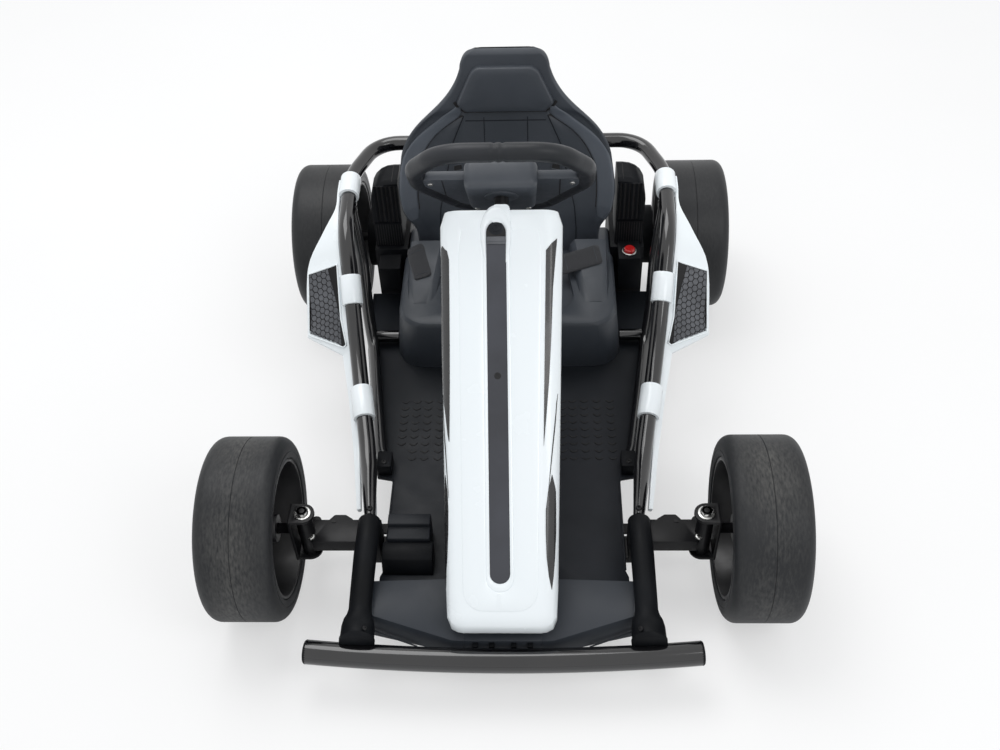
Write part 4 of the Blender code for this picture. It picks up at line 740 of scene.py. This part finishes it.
def fair_side(along, place, side, proud):
    """A place on the outside: 0 is the edge of the flat top, 4 the foot of the shoulder, 5 the lower edge."""
    share = along / FAIR_LENGTH
    flat, half = 0.042 + 0.008 * share, 0.060 + 0.009 * share
    k = min(int(place), 4)
    out, down = (a + (b - a) * (place - k) for a, b in zip(SHOULDER[k], SHOULDER[k + 1]))
    lift = FAIR_UP * proud * max(0.0, 1 - down * 2) + Vector((side * proud * min(1.0, place / 3), 0, 0))
    return fair_point(side * (flat + (half - flat) * out), along, -FAIR_SKIRT * down) + lift


for (name, side), rows in STRIPES.items():
    rings = []
    for along, first, last in refined(rows, 4, closed=False):
        places = [first + (last - first) * k / 6 for k in range(7)]
        rings.append([fair_side(along, place, side, STRIPE_PROUD) for place in places]
                     + [fair_side(along, place, side, -0.0006) for place in reversed(places)])
    add(name, STRIPE, [rings], smooth=30)


def round_slot(half_width, front, rear, radius):
    return [(slot_middle(b) + a, b)
            for a, b in flat_outline(box(-half_width, half_width, front, rear), radius, 10)]


def quartered(outline, count):
    """The outline again as count points on each side between its four corners, so that two outlines match."""
    lows = [min(p[i] for p in outline) for i in (0, 1)]
    spans = [max(p[i] for p in outline) - lows[i] for i in (0, 1)]
    corners = [max(range(len(outline)), key=lambda k: sum(
        sign * (outline[k][i] - lows[i]) / spans[i] for i, sign in enumerate(corner)))
        for corner in box(-1, 1, -1, 1)]
    made = []
    for first, last in zip(corners, corners[1:] + corners[:1]):
        last += len(outline) if last <= first else 0
        run = [outline[k % len(outline)] for k in range(first, last + 1)]
        steps = [dist(p, q) for p, q in zip(run, run[1:])]
        k, gone = 0, 0.0
        for n in range(count):
            target = sum(steps) * n / count
            while gone + steps[k] < target:
                gone += steps[k]
                k += 1
            t = (target - gone) / steps[k] if steps[k] else 0.0
            made.append(tuple(run[k][i] + (run[k + 1][i] - run[k][i]) * t for i in (0, 1)))
    return made


def frame_rings(pairs, levels):
    """Sections across a frame between matched outlines; levels: (share of the way inwards, height)."""
    return [[fair_point(a0 + (a1 - a0) * share, b0 + (b1 - b0) * share, level) for share, level in levels]
            for (a0, b0), (a1, b1) in pairs]


slot, lip = round_slot(0.0111, 0.0319, 0.4261, 0.0108), round_slot(0.0150, 0.0230, 0.4320, 0.0148)
panel = flat_outline([(-0.0415, 0.0030), (0.0390, 0.0030), (0.0455, 0.3900), (0.0420, 0.4235), (-0.0440, 0.4235),
                      (-0.0478, 0.3900)], [0.022, 0.022, 0.008, 0.006, 0.006, 0.008])
sections = frame_rings(zip(quartered(lip, 40), quartered(slot, 40)), (
    (0.0, -0.0012), (0.10, 0.0004), (0.45, 0.0008), (0.80, 0.0002), (1.04, -0.0012), (1.06, -0.0024), (0.5, -0.0024)))
add("fairing_slot_lip", WHITE, [list(zip(*sections))], smooth=30, loop=True)
pairs = list(zip(quartered(panel, 50), quartered(lip, 50)))
pairs = pairs[150:] + pairs[:101]        # down the left side, round the front, up the right side
add("fairing_panel", WHITE, [frame_rings(pairs, (
    (0.0, -0.0010), (0.03, 0.0004), (0.09, 0.0010), (0.95, 0.0008), (1.0, 0.0002), (0.98, -0.0015)))], smooth=30)

ARCH_AT, ARCH_R, ARCH_LEG, ARCH_BEND = 0.4150, 0.0108, 0.034, 1.7       # ARCH_BEND: turn made before the legs
rings = []
for k in range(61):
    t = 2 * k / 60 - 1
    turn = max(-1.0, min(1.0, t * ARCH_BEND)) * pi / 2
    leg = max(0.0, abs(t) - 1 / ARCH_BEND) / (1 - 1 / ARCH_BEND) * ARCH_LEG
    grow = min(1.0, (1 - abs(t)) / 0.30)
    ring = []
    for reach, level in ((0.0106, -0.0030), (0.0110, 0.0006), (0.0122, 0.0026), (0.0142, 0.0032), (0.0160, 0.0020),
                         (0.0170, 0.0), (0.0170, -0.0030)):
        beyond = (reach - ARCH_R) * (0.35 + 0.75 * grow)
        ring.append(fair_point(slot_middle(ARCH_AT) + sin(turn) * (ARCH_R + beyond),
                               ARCH_AT + cos(turn) * (ARCH_R + beyond * 2.9) - leg,
                               level if level <= 0 else 0.0004 + (level - 0.0004) * grow))
    rings.append(ring)
add("fairing_arch", WHITE, [rings], smooth=50)
middle = slot_middle(0.407)
add("slot_bridge", INSERT, [
    slab(box(middle - 0.0106, middle + 0.0106, front, rear), -0.0030, top, fair_point)
    for front, rear, top in ((0.4015, 0.4100, 0.0008), (0.4042, 0.4070, 0.0016))], soft=0.0005)
# A dark plate at the slot's round head: painted shade.
head = [(slot_middle(ARCH_AT) + 0.0106 * cos(a), ARCH_AT + (ARCH_R * sin(a) if sin(a) > 0 else -0.0046))
        for a in [pi * k / 24 for k in range(25)] + [pi + 0.001, 2 * pi - 0.001]]
add("slot_head_shade", SHADE_AND_SEAM_BLACK, [slab(head, -0.0024, 0.0002, fair_point)])
cap = fair_point(middle, 0.4205, -0.0008)
add("slot_cap", SATIN, [bolt(cap, FAIR_UP, 0.0088, 0.0016, False, 32),
                        bolt(cap + FAIR_UP * 0.0014, FAIR_UP, 0.0050, 0.0014)])
# A dark disc on the fairing: painted shade of a small hole.
add("slot_hole_shade", SHADE_AND_SEAM_BLACK, [
    bolt(fair_point(slot_middle(0.2552), 0.2552, -0.0009), FAIR_UP, 0.0038, 0.0004, False, 28)])
add("fairing_front_bolts", ZINC, [
    bolt(fair_point(across, -0.0035, -0.0190), Vector((0, -1, 0.1)), 0.0030, 0.0014) for across in (-0.030, 0.030)])

# Steering wheel: thick moulded rim with seams, closed lower part, thick middle; the lower part and middle are
# lightened with painted light
COLUMN_DIR, COLUMN_UP = slope_axes(radians(37))
GRIP_W, GRIP_H, GRIP_R, SEAM_DEPTH, SEAM_HALF = 0.095, 0.092, 0.0105, 0.0011, 0.0020
GRIP_SEAMS = [(side * a, b) for a, b in ((0.0045, GRIP_H), (0.078, 0.078), (0.058, -0.075)) for side in (1, -1)]
MOULD_LINES = (5, 11)    # the two of the 32 points round the rim where the mould's halves meet


def wheel_point(across, up, along=0.0):
    return at(across, 0.2800, 0.3843) + COLUMN_DIR * along + COLUMN_UP * up


grip = flat_outline([(a * GRIP_W, b * GRIP_H) for a, b in (
    (1, 0.42), (0.66, 1), (-0.66, 1), (-1, 0.42), (-1, -0.06), (-0.50, -1), (0.50, -1), (1, -0.06))],
    [0.032, 0.050, 0.050, 0.032, 0.030, 0.030, 0.030, 0.030], 10)
grip = [Vector(p) for p in refined(grip, 0.0030)]
rings = []
for k, p in enumerate(grip):
    tangent = (grip[(k + 1) % len(grip)] - grip[k - 1]).normalized()
    r = GRIP_R - (SEAM_DEPTH if min(dist(p, seam) for seam in GRIP_SEAMS) < SEAM_HALF else 0.0)
    ring = []
    for n, (c, s) in enumerate(circle(32)):
        dipped = r - (0.0005 if n in MOULD_LINES else 0.0)
        ring.append(wheel_point(p.x + tangent.y * dipped * c, p.y - tangent.x * dipped * c, dipped * s))
    rings.append(ring)
add("wheel_grip_rim", RIM_GRIP, [rings], body="steering", smooth=50, replaces=["steering_wheel"], loop=True)
# The infill, middle and boss are lightened with painted light.
infill = flat_outline([(0.0905, 0.0210), (0.0905, -0.0060), (0.0450, -0.0885), (-0.0450, -0.0885),
                       (-0.0905, -0.0060), (-0.0905, 0.0210)], [0.010, 0.020, 0.026, 0.026, 0.020, 0.010], 6)
add("wheel_infill", HUB_PAINTED_LIGHT, [domed(infill, (0, 0), ((0.97, -0.0070), (1.0, -0.0045), (1.0, 0.0010), (0.97, 0.0030)),
                                wheel_point)], body="steering")
pad = flat_outline([(0.0410, 0.0360), (-0.0410, 0.0360), (-0.0380, -0.0620), (0.0380, -0.0620)],
                   [0.009, 0.009, 0.014, 0.014], 6)
add("wheel_middle", HUB_PAINTED_LIGHT, [domed(pad, (0, -0.013), (
    (0.80, -0.0205), (0.93, -0.0196), (0.985, -0.0170), (1.0, -0.0130), (1.0, 0.0050), (0.97, 0.0085),
    (0.88, 0.0102), (0.86, 0.0096)), wheel_point)], body="steering", smooth=45)
add("wheel_boss", HUB_PAINTED_LIGHT, [tube([wheel_point(0, 0, d) for d in (-0.0222, -0.0215, -0.0140)], 0.019, 32,
                             [(0.94, 0.94), (1, 1), (1, 1)])], body="steering")
add("wheel_infill_seams", SHADE_AND_SEAM_BLACK, [
    slab([(across + a, b) for a, b in box(-0.0006, 0.0006, 0.018, -0.045)], -0.0074, -0.0060, wheel_point)
    for across in (-0.066, 0.066)], body="steering")
add("wheel_screws", ZINC, [
    bolt(wheel_point(side * across, up, along), -COLUMN_DIR, 0.0032, 0.0016)
    for across, up, along in ((0.080, 0.004, -0.0068), (0.030, -0.052, -0.0192)) for side in (-1, 1)],
    body="steering")

# Seat back: one smooth shell with raised bolster bands lightened with painted sheen, seams, harness slots, groove and
# creases darkened with painted shade, and the headrest's pad
SEAT_ROWS = (            # height, rear lean, half width, reach of the wings, thickness
    (0.1503, 0.1470, 0.1220, 0.0060, 0.0140), (0.1900, 0.1550, 0.1230, 0.0140, 0.0140),
    (0.2020, 0.1575, 0.1260, 0.0220, 0.0140), (0.2250, 0.1625, 0.1370, 0.0340, 0.0140),
    (0.2600, 0.1700, 0.1420, 0.0360, 0.0140), (0.3100, 0.1810, 0.1340, 0.0260, 0.0140),
    (0.3300, 0.1850, 0.1210, 0.0180, 0.0140), (0.3600, 0.1915, 0.0800, 0.0060, 0.0150),
    (0.3800, 0.1960, 0.0640, 0.0020, 0.0160), (0.4120, 0.2030, 0.0520, 0.0000, 0.0150),
    (0.4300, 0.2068, 0.0455, 0.0000, 0.0150))
SEAT_FRONT_Y, SEAT_LOW, SEAT_HIGH, SEAT_ROUND, WING_FROM = 0.2900, 0.1503, 0.4222, 0.0230, 0.45
PANEL_EDGE = ((0.3400, 0.0540), (0.3040, 0.0700), (0.2190, 0.0895), (0.1880, 0.0920), (0.1500, 0.0920))
BAND_ROWS = (            # height, inner and outer edge
    (0.3560, 0.0570, 0.0590), (0.3400, 0.0560, 0.0840), (0.3330, 0.0680, 0.0940), (0.3230, 0.0850, 0.1120),
    (0.3130, 0.0965, 0.1235), (0.3030, 0.1050, 0.1320), (0.2850, 0.1150, 0.1375), (0.2700, 0.1175, 0.1392),
    (0.2580, 0.1184, 0.1398), (0.2400, 0.1184, 0.1388), (0.2250, 0.1180, 0.1350), (0.2120, 0.1200, 0.1285))
BAND_STEPS = ((0.0, -0.0040), (0.0, 0.0006), (0.05, 0.0017), (0.14, 0.0021), (0.35, 0.0022), (0.60, 0.0022),
              (0.86, 0.0020), (0.95, 0.0014), (1.0, 0.0004), (1.0, -0.0022))           # share of its width, level


def mean_of(rows, place, column, reaches):
    return sum(between(rows, place + reach, column) for reach in reaches) / len(reaches)


def seat_value(z, column):
    return mean_of(SEAT_ROWS, z, column, (-0.008, -0.004, 0.0, 0.004, 0.008))


def eased(value):
    value = min(max(value, 0.0), 1.0)
    return value * value * (3 - 2 * value)


def seat_half(z):
    beyond = max(0.0, z - (SEAT_HIGH - SEAT_ROUND)) / SEAT_ROUND
    return (seat_value(min(z, SEAT_HIGH - SEAT_ROUND), 2)
            - SEAT_ROUND * (1 - (max(0.0, 1 - beyond * beyond)) ** 0.5))


def wing(z, u):
    return seat_value(z, 3) * max(0.0, (u - WING_FROM) / (1 - WING_FROM)) ** 1.4


def seat_front(x, z, proud=0.0):
    """The front of the shell: raised middle panel, facets that fall back beside it, wings coming forward."""
    u = min(1.0, abs(x) / seat_half(z))
    edge, inner = between(PANEL_EDGE, z, 1), between(BAND_ROWS, z, 1)
    facet = eased((abs(x) - edge) / max(0.004, inner - edge)) * 0.0035 if z < 0.350 else 0.0
    facet *= eased((0.352 - z) / 0.012) * eased((1.0 - u) / 0.10)
    rounding = (0.0030 * max(0.0, (u - 0.95) / 0.05) ** 2
                + 0.0050 * max(0.0, (z - SEAT_HIGH + 0.006) / 0.006) ** 2)
    return at(x, SEAT_FRONT_Y + seat_value(z, 1) - wing(z, u) + facet + rounding - proud, z)


def seat_line(name, path, width, look=SATIN, proud=0.0005):
    """A narrow strip that follows the shell through the (x, z) points."""
    dense = refined(path, 0.003, closed=False)
    rings = []
    for k, (x, z) in enumerate(dense):
        (x0, z0), (x1, z1) = dense[max(k - 1, 0)], dense[min(k + 1, len(dense) - 1)]
        half = width / 2 / hypot(x1 - x0, z1 - z0)
        nx, nz = -(z1 - z0) * half, (x1 - x0) * half
        rings.append([seat_front(x + nx * sign, z + nz * sign, level) for sign, level in (
            (1, -0.0012), (1, proud), (-1, proud), (-1, -0.0012))])
    add(name, look, [rings])


shares = [sin(pi / 2 * (2 * n / 90 - 1)) * 0.35 + (2 * n / 90 - 1) * 0.65 for n in range(91)]
rings = []
for k in range(121):
    z = SEAT_LOW + (SEAT_HIGH - 0.0002 - SEAT_LOW) * (1 - (1 - k / 120) ** 1.25)
    half, lean = seat_half(z), SEAT_FRONT_Y + seat_value(z, 1)
    rear = []
    for u in shares[::-1]:
        thin = ((1.0 - 0.35 * max(0.0, (abs(u) - 0.8) / 0.2))
                * (1 - 0.45 * max(0.0, (z - SEAT_HIGH + 0.008) / 0.008) ** 2))
        rear.append(at(u * half * 0.985, lean - wing(z, abs(u)) + seat_value(z, 4) * thin, z))
    rings.append([seat_front(u * half, z) for u in shares] + rear)
add("seat_back", SEAT, [rings], smooth=45, replaces=["seat_shell"])
rib = [(0.4640, 0.2445), (0.5408, 0.2445), (0.5408, 0.2466)]
rib += [(0.5410 - 0.0104 * sin(pi * k / 12), 0.2570 - 0.0104 * cos(pi * k / 12)) for k in range(1, 12)]
rib += [(0.5408, 0.2674), (0.5408, 0.2688), (0.4640, 0.2688)]
add("seat_rib", SEAT, [slab(rib, -0.0298, 0.0298, lambda y, z, x: at(x, y, z))], soft=0.0008)
GROOVE = ((0.0520, 0.3462), (0.0600, 0.3525), (0.0650, 0.3600))
# A dark strip in the groove under the headrest: painted shade.
seat_line("seat_groove_shade", [(-x, z) for x, z in GROOVE[::-1]] + list(GROOVE), 0.0034, SHADE_AND_SEAM_BLACK, 0.0008)
seat_line("seat_seam_across", [(-0.0520, 0.3335), (0.0520, 0.3335)], 0.0010)
SHADOWED = (0.3400, 0.3330, 0.3230, 0.3130, 0.3030, 0.2850, 0.2700, 0.2580, 0.2400, 0.2250)
for word, side in SIDES:
    rings = []
    for k in range(61):
        z = BAND_ROWS[0][0] + (BAND_ROWS[-1][0] - BAND_ROWS[0][0]) * k / 60
        inner, outer = (mean_of(BAND_ROWS, z, column, (-0.004, 0, 0.004)) for column in (1, 2))
        outer = min(outer, seat_half(z) - 0.0006)
        fade = min(1.0, k / 5, (60 - k) / 8)
        rings.append([seat_front(side * (inner + (outer - inner) * share), z,
                                 level if level < 0 else 0.0002 + level * fade) for share, level in BAND_STEPS])
    # The bands' lighter colour is painted sheen.
    add(f"seat_band_sheen_{word}", BOLSTER_PAINTED_SHEEN, [rings], smooth=50)
    seat_line(f"seat_seam_{word}", [(side * 0.028, 0.3380), (side * 0.028, 0.1530)], 0.0010)
    # A darker strip along the middle panel's edge: painted shade of the crease.
    seat_line(f"seat_crease_shade_{word}", [(side * x, z) for z, x in PANEL_EDGE], 0.0014)
    seat_line(f"seat_shadow_gap_{word}", [(side * (between(BAND_ROWS, z, 1) - 0.0008), z) for z in SHADOWED],
              0.0014, SHADE_AND_SEAM_BLACK)
    hole = flat_outline([(side * 0.0585, 0.2680), (side * 0.0705, 0.2665), (side * 0.0700, 0.2745),
                         (side * 0.0590, 0.2755)], 0.0015)
    # A dark plate in each harness slot: painted shade.
    add(f"harness_slot_shade_{word}", SHADE_AND_SEAM_BLACK, [slab(hole, -0.0010, 0.0006, seat_front)])
    rim = [seat_front(x, z, 0.0006) for x, z in refined(hole, 2)]
    add(f"harness_rim_{word}", SEAT, [tube(rim, 0.0008, 8, loop=True)], smooth=60, loop=True)
pad = flat_outline([(-0.0510, 0.3480), (0.0510, 0.3480), (0.0622, 0.3595), (0.0400, 0.4035), (-0.0400, 0.4035),
                    (-0.0622, 0.3595)], [0.006, 0.006, 0.005, 0.015, 0.015, 0.005], 8)
add("headrest_moulding", SEAT, [domed(refined(pad, 0.004), (0, 0.3760), (
    (1.0, -0.0015), (1.0, 0.0045), (0.992, 0.0060), (0.975, 0.0070), (0.94, 0.0075), (0.7, 0.0078), (0.4, 0.0079),
    (0.1, 0.0080)), seat_front)], smooth=50, replaces=["headrest_pad"])

# Lap belts: flat webbing over the bolsters, with a stitched end
BELTS = {"left": ((0.0670, 0.3830), (0.0950, 0.3905), (0.1100, 0.3945), (0.1235, 0.3980)),
         "right": ((-0.1130, 0.3700), (-0.1170, 0.3820), (-0.1215, 0.3950), (-0.1255, 0.4100))}
BELT_HALF = 0.0118
BELT_SECTION = (         # share of half the width, lift
    (-1, 0.0004), (-0.5, 0.0004), (0, 0.0004), (0.5, 0.0004), (1, 0.0004), (1, 0.0022), (0.9, 0.0028),
    (0.5, 0.0029), (0, 0.0027), (-0.5, 0.0029), (-0.9, 0.0028), (-1, 0.0022))


def belt_row(route, k, section):
    """The belt's section at step k of 24, lying on the bolster's top, which falls away at its outer edge."""
    t = k / 24 * (len(route) - 1)
    low = min(int(t), len(route) - 2)
    (x0, y0), (x1, y1) = route[low], route[low + 1]
    run = hypot(x1 - x0, y1 - y0)
    half = BELT_HALF * (1 - 0.18 * max(0.0, (k - 21) / 3) ** 2 - 0.18 * max(0.0, (2 - k) / 2) ** 2)
    made = []
    for share, lift in section:
        x = x0 + (x1 - x0) * (t - low) - (y1 - y0) / run * half * share
        y = y0 + (y1 - y0) * (t - low) + (x1 - x0) / run * half * share
        beyond = y - 0.3700
        top = 0.1585 + beyond * (0.20 if beyond < 0 else 0.53) - max(0.0, abs(x) - 0.1250) * 0.35
        made.append(at(x, y, top + lift))
    return made


for word, route in BELTS.items():
    add(f"belt_strap_{word}", WEBBING, [[belt_row(route, k, BELT_SECTION) for k in range(25)]], smooth=50,
        replaces=[f"lap_belt_{word}"])
    add(f"belt_stitches_{word}", SEAT, [
        tube(belt_row(route, k, [(share, 0.0030) for share in (-0.8, -0.4, 0, 0.4, 0.8)]), 0.0004, 8)
        for k in (3, 20)], smooth=60)

# Housings: vents with deep slots, finer ribs below them, a seam over the top, and the button's ring; the slots' dark
# is painted shade
VENTS = (0.1455, 0.1512, 0.1570, 0.1627, 0.1685, 0.1745, 0.1805)
WIDE_SLOTS = (1, 3)
VENT_LOW, VENT_HIGH, HOUSING_FACE = 0.1900, 0.2500, 0.4520
APRON_MIDDLE = 0.1651
HOUSING_SEAM = ((0.1536, 0.4522, 0.2516), (0.1536, 0.4580, 0.2558), (0.1536, 0.4610, 0.2560),
                (0.1536, 0.4880, 0.2560))


def face_shell(outline, steps, middle=0.0):
    """Shell standing out of a housing's face, narrowed about a middle line; steps: (scale across, proud)."""
    return [[at(middle + (x - middle) * scale, HOUSING_FACE - proud, z) for x, z in outline]
            for scale, proud in steps]


for word, side in SIDES:
    ribs = []
    for inner, outer in zip(VENTS, VENTS[1:]):
        rib = flat_outline(box(side * (inner + 0.0012), side * (outer - 0.0012), VENT_LOW, VENT_HIGH), 0.0008, 3)
        ribs.append(face_shell(rib, ((1.0, -0.0004), (1.0, 0.0010), (0.78, 0.0016)), side * (inner + outer) / 2))
    add(f"housing_vent_ribs_{word}", MATT, ribs, smooth=30)
    slots = []
    for k, x in enumerate(VENTS[1:-1]):
        wide = 0.0013 if k in WIDE_SLOTS else 0.0007
        slots.append(face_shell(box(side * (x - wide), side * (x + wide), VENT_LOW + 0.0005, VENT_HIGH - 0.0005),
                                ((1.0, -0.0004), (1.0, 0.0005))))
    # Dark plates in the vent slots: painted shade.
    add(f"housing_slot_shade_{word}", SHADE_AND_SEAM_BLACK, slots)
    apron = flat_outline(box(side * 0.1462, side * 0.1840, 0.1500, 0.1890), 0.0010, 3)
    add(f"housing_apron_{word}", MATT, [face_shell(apron, ((1.0, -0.0004), (1.0, 0.0020), (0.985, 0.0026)),
                                                   side * APRON_MIDDLE)], smooth=30)
    fine = [0.1483 + 0.00335 * k for k in range(11)]
    # Dark bars between the fine ribs: painted shade.
    add(f"housing_fine_slot_shade_{word}", SHADE_AND_SEAM_BLACK, [
        face_shell(box(side * (x - 0.0004), side * (x + 0.0004), 0.1515, 0.1875), ((1.0, 0.0020), (1.0, 0.0030)))
        for x in fine])
    add(f"housing_seam_{word}", SHADE_AND_SEAM_BLACK, [tube(on_side(side, HOUSING_SEAM), 0.0006, 8)],
        smooth=60)


def turned_shell(centre, profile):
    """Shell of a profile of (radius, height) turned about an upright axis."""
    return [[centre + Vector((r * c, r * s, h)) for c, s in circle(40)] for r, h in profile]


button = at(0.1650, 0.4270, 0.1543)
add("button_ring", ZINC, [turned_shell(button, (
    (0.0079, 0.0), (0.0098, 0.0), (0.0100, 0.0008), (0.0097, 0.0016), (0.0089, 0.0020), (0.0080, 0.0018)))],
    smooth=50, loop=True)
add("button_cap", RED, [turned_shell(button, (
    (0.0074, 0.0004), (0.0075, 0.0035), (0.0072, 0.0052), (0.0062, 0.0060), (0.0050, 0.0058), (0.0030, 0.0056)))],
    smooth=50, replaces=["power_button"])


# Nose: sloping top, front wall down to the bumper, side walls, and the ribbed tongue under the fairing
def nose_row(u, side):
    """Section of the nose at a share of the way from the tongue's opening (0) to the outer side (1)."""
    xb, xf = 0.0425 + 0.1075 * u, 0.0425 + 0.1030 * u
    slant = min(1.0, max(0.0, (xf - 0.0540) / 0.0915))
    yb, yf, zf = -0.0500 - 0.0035 * u, -0.1200 + 0.0225 * slant, 0.0630 + 0.0155 * slant
    return on_side(side, (
        (xb, yb, 0.0705), (xb, yb, 0.0785), (xf, yf, zf), (xf, yf - 0.0045, 0.0440), (xf, yf - 0.0010, 0.0440),
        (xf, yf + 0.0035, zf - 0.0035), (xb, yb - 0.0035, 0.0750), (xb, yb - 0.0035, 0.0705)))


WALL_T = 0.0035
NOSE_WALL = ((0.1500, -0.0535, 0.0785), (0.1455, -0.0975, 0.0785), (0.1455, -0.1020, 0.0440),
             (0.1500, -0.0600, 0.0440))
NOSE_STRIP = ((-0.1060, 0.0655), (-0.1200, 0.0630), (-0.1245, 0.0440), (-0.1210, 0.0440), (-0.1165, 0.0595),
              (-0.1060, 0.0620))
NOSE_FLANGE = ((0.1440, -0.1030, 0.0560), (0.1180, -0.1105, 0.0500), (0.0950, -0.1165, 0.0450))
shells = []
for word, side in SIDES:
    shells.append([nose_row(u / 16, side) for u in range(17)])
    shells.append([on_side(side, [(x - inset, y, z) for x, y, z in NOSE_WALL]) for inset in (0.0, WALL_T)])
shells.append([[at(x, y, z) for y, z in NOSE_STRIP] for x in (-0.0426, -0.02, 0.0, 0.02, 0.0426)])
# The nose's lighter colour is painted light on its top.
add("nose_moulding", NOSE_PAINTED_LIGHT, shells, replaces=["nose_panel"], soft=0.0006)
ribs = [[[at(x + a, y, z) for a, z in box(-0.0030, 0.0030, 0.0445, 0.0610)] for y in (-0.1190, -0.1262)]
        for x in (-0.030, -0.012, 0.012, 0.030)]
ledge = [[at(x, y, z) for y, z in box(-0.1215, -0.1255, 0.0450, 0.0480)] for x in (-0.0400, 0.0400)]
add("nose_tongue_ribs", MATT, ribs + [ledge], soft=0.0007)
for word, side in SIDES:
    add(f"nose_flange_{word}", NOSE_PAINTED_LIGHT, [tube(on_side(side, NOSE_FLANGE), 0.0009, 8)], smooth=60)
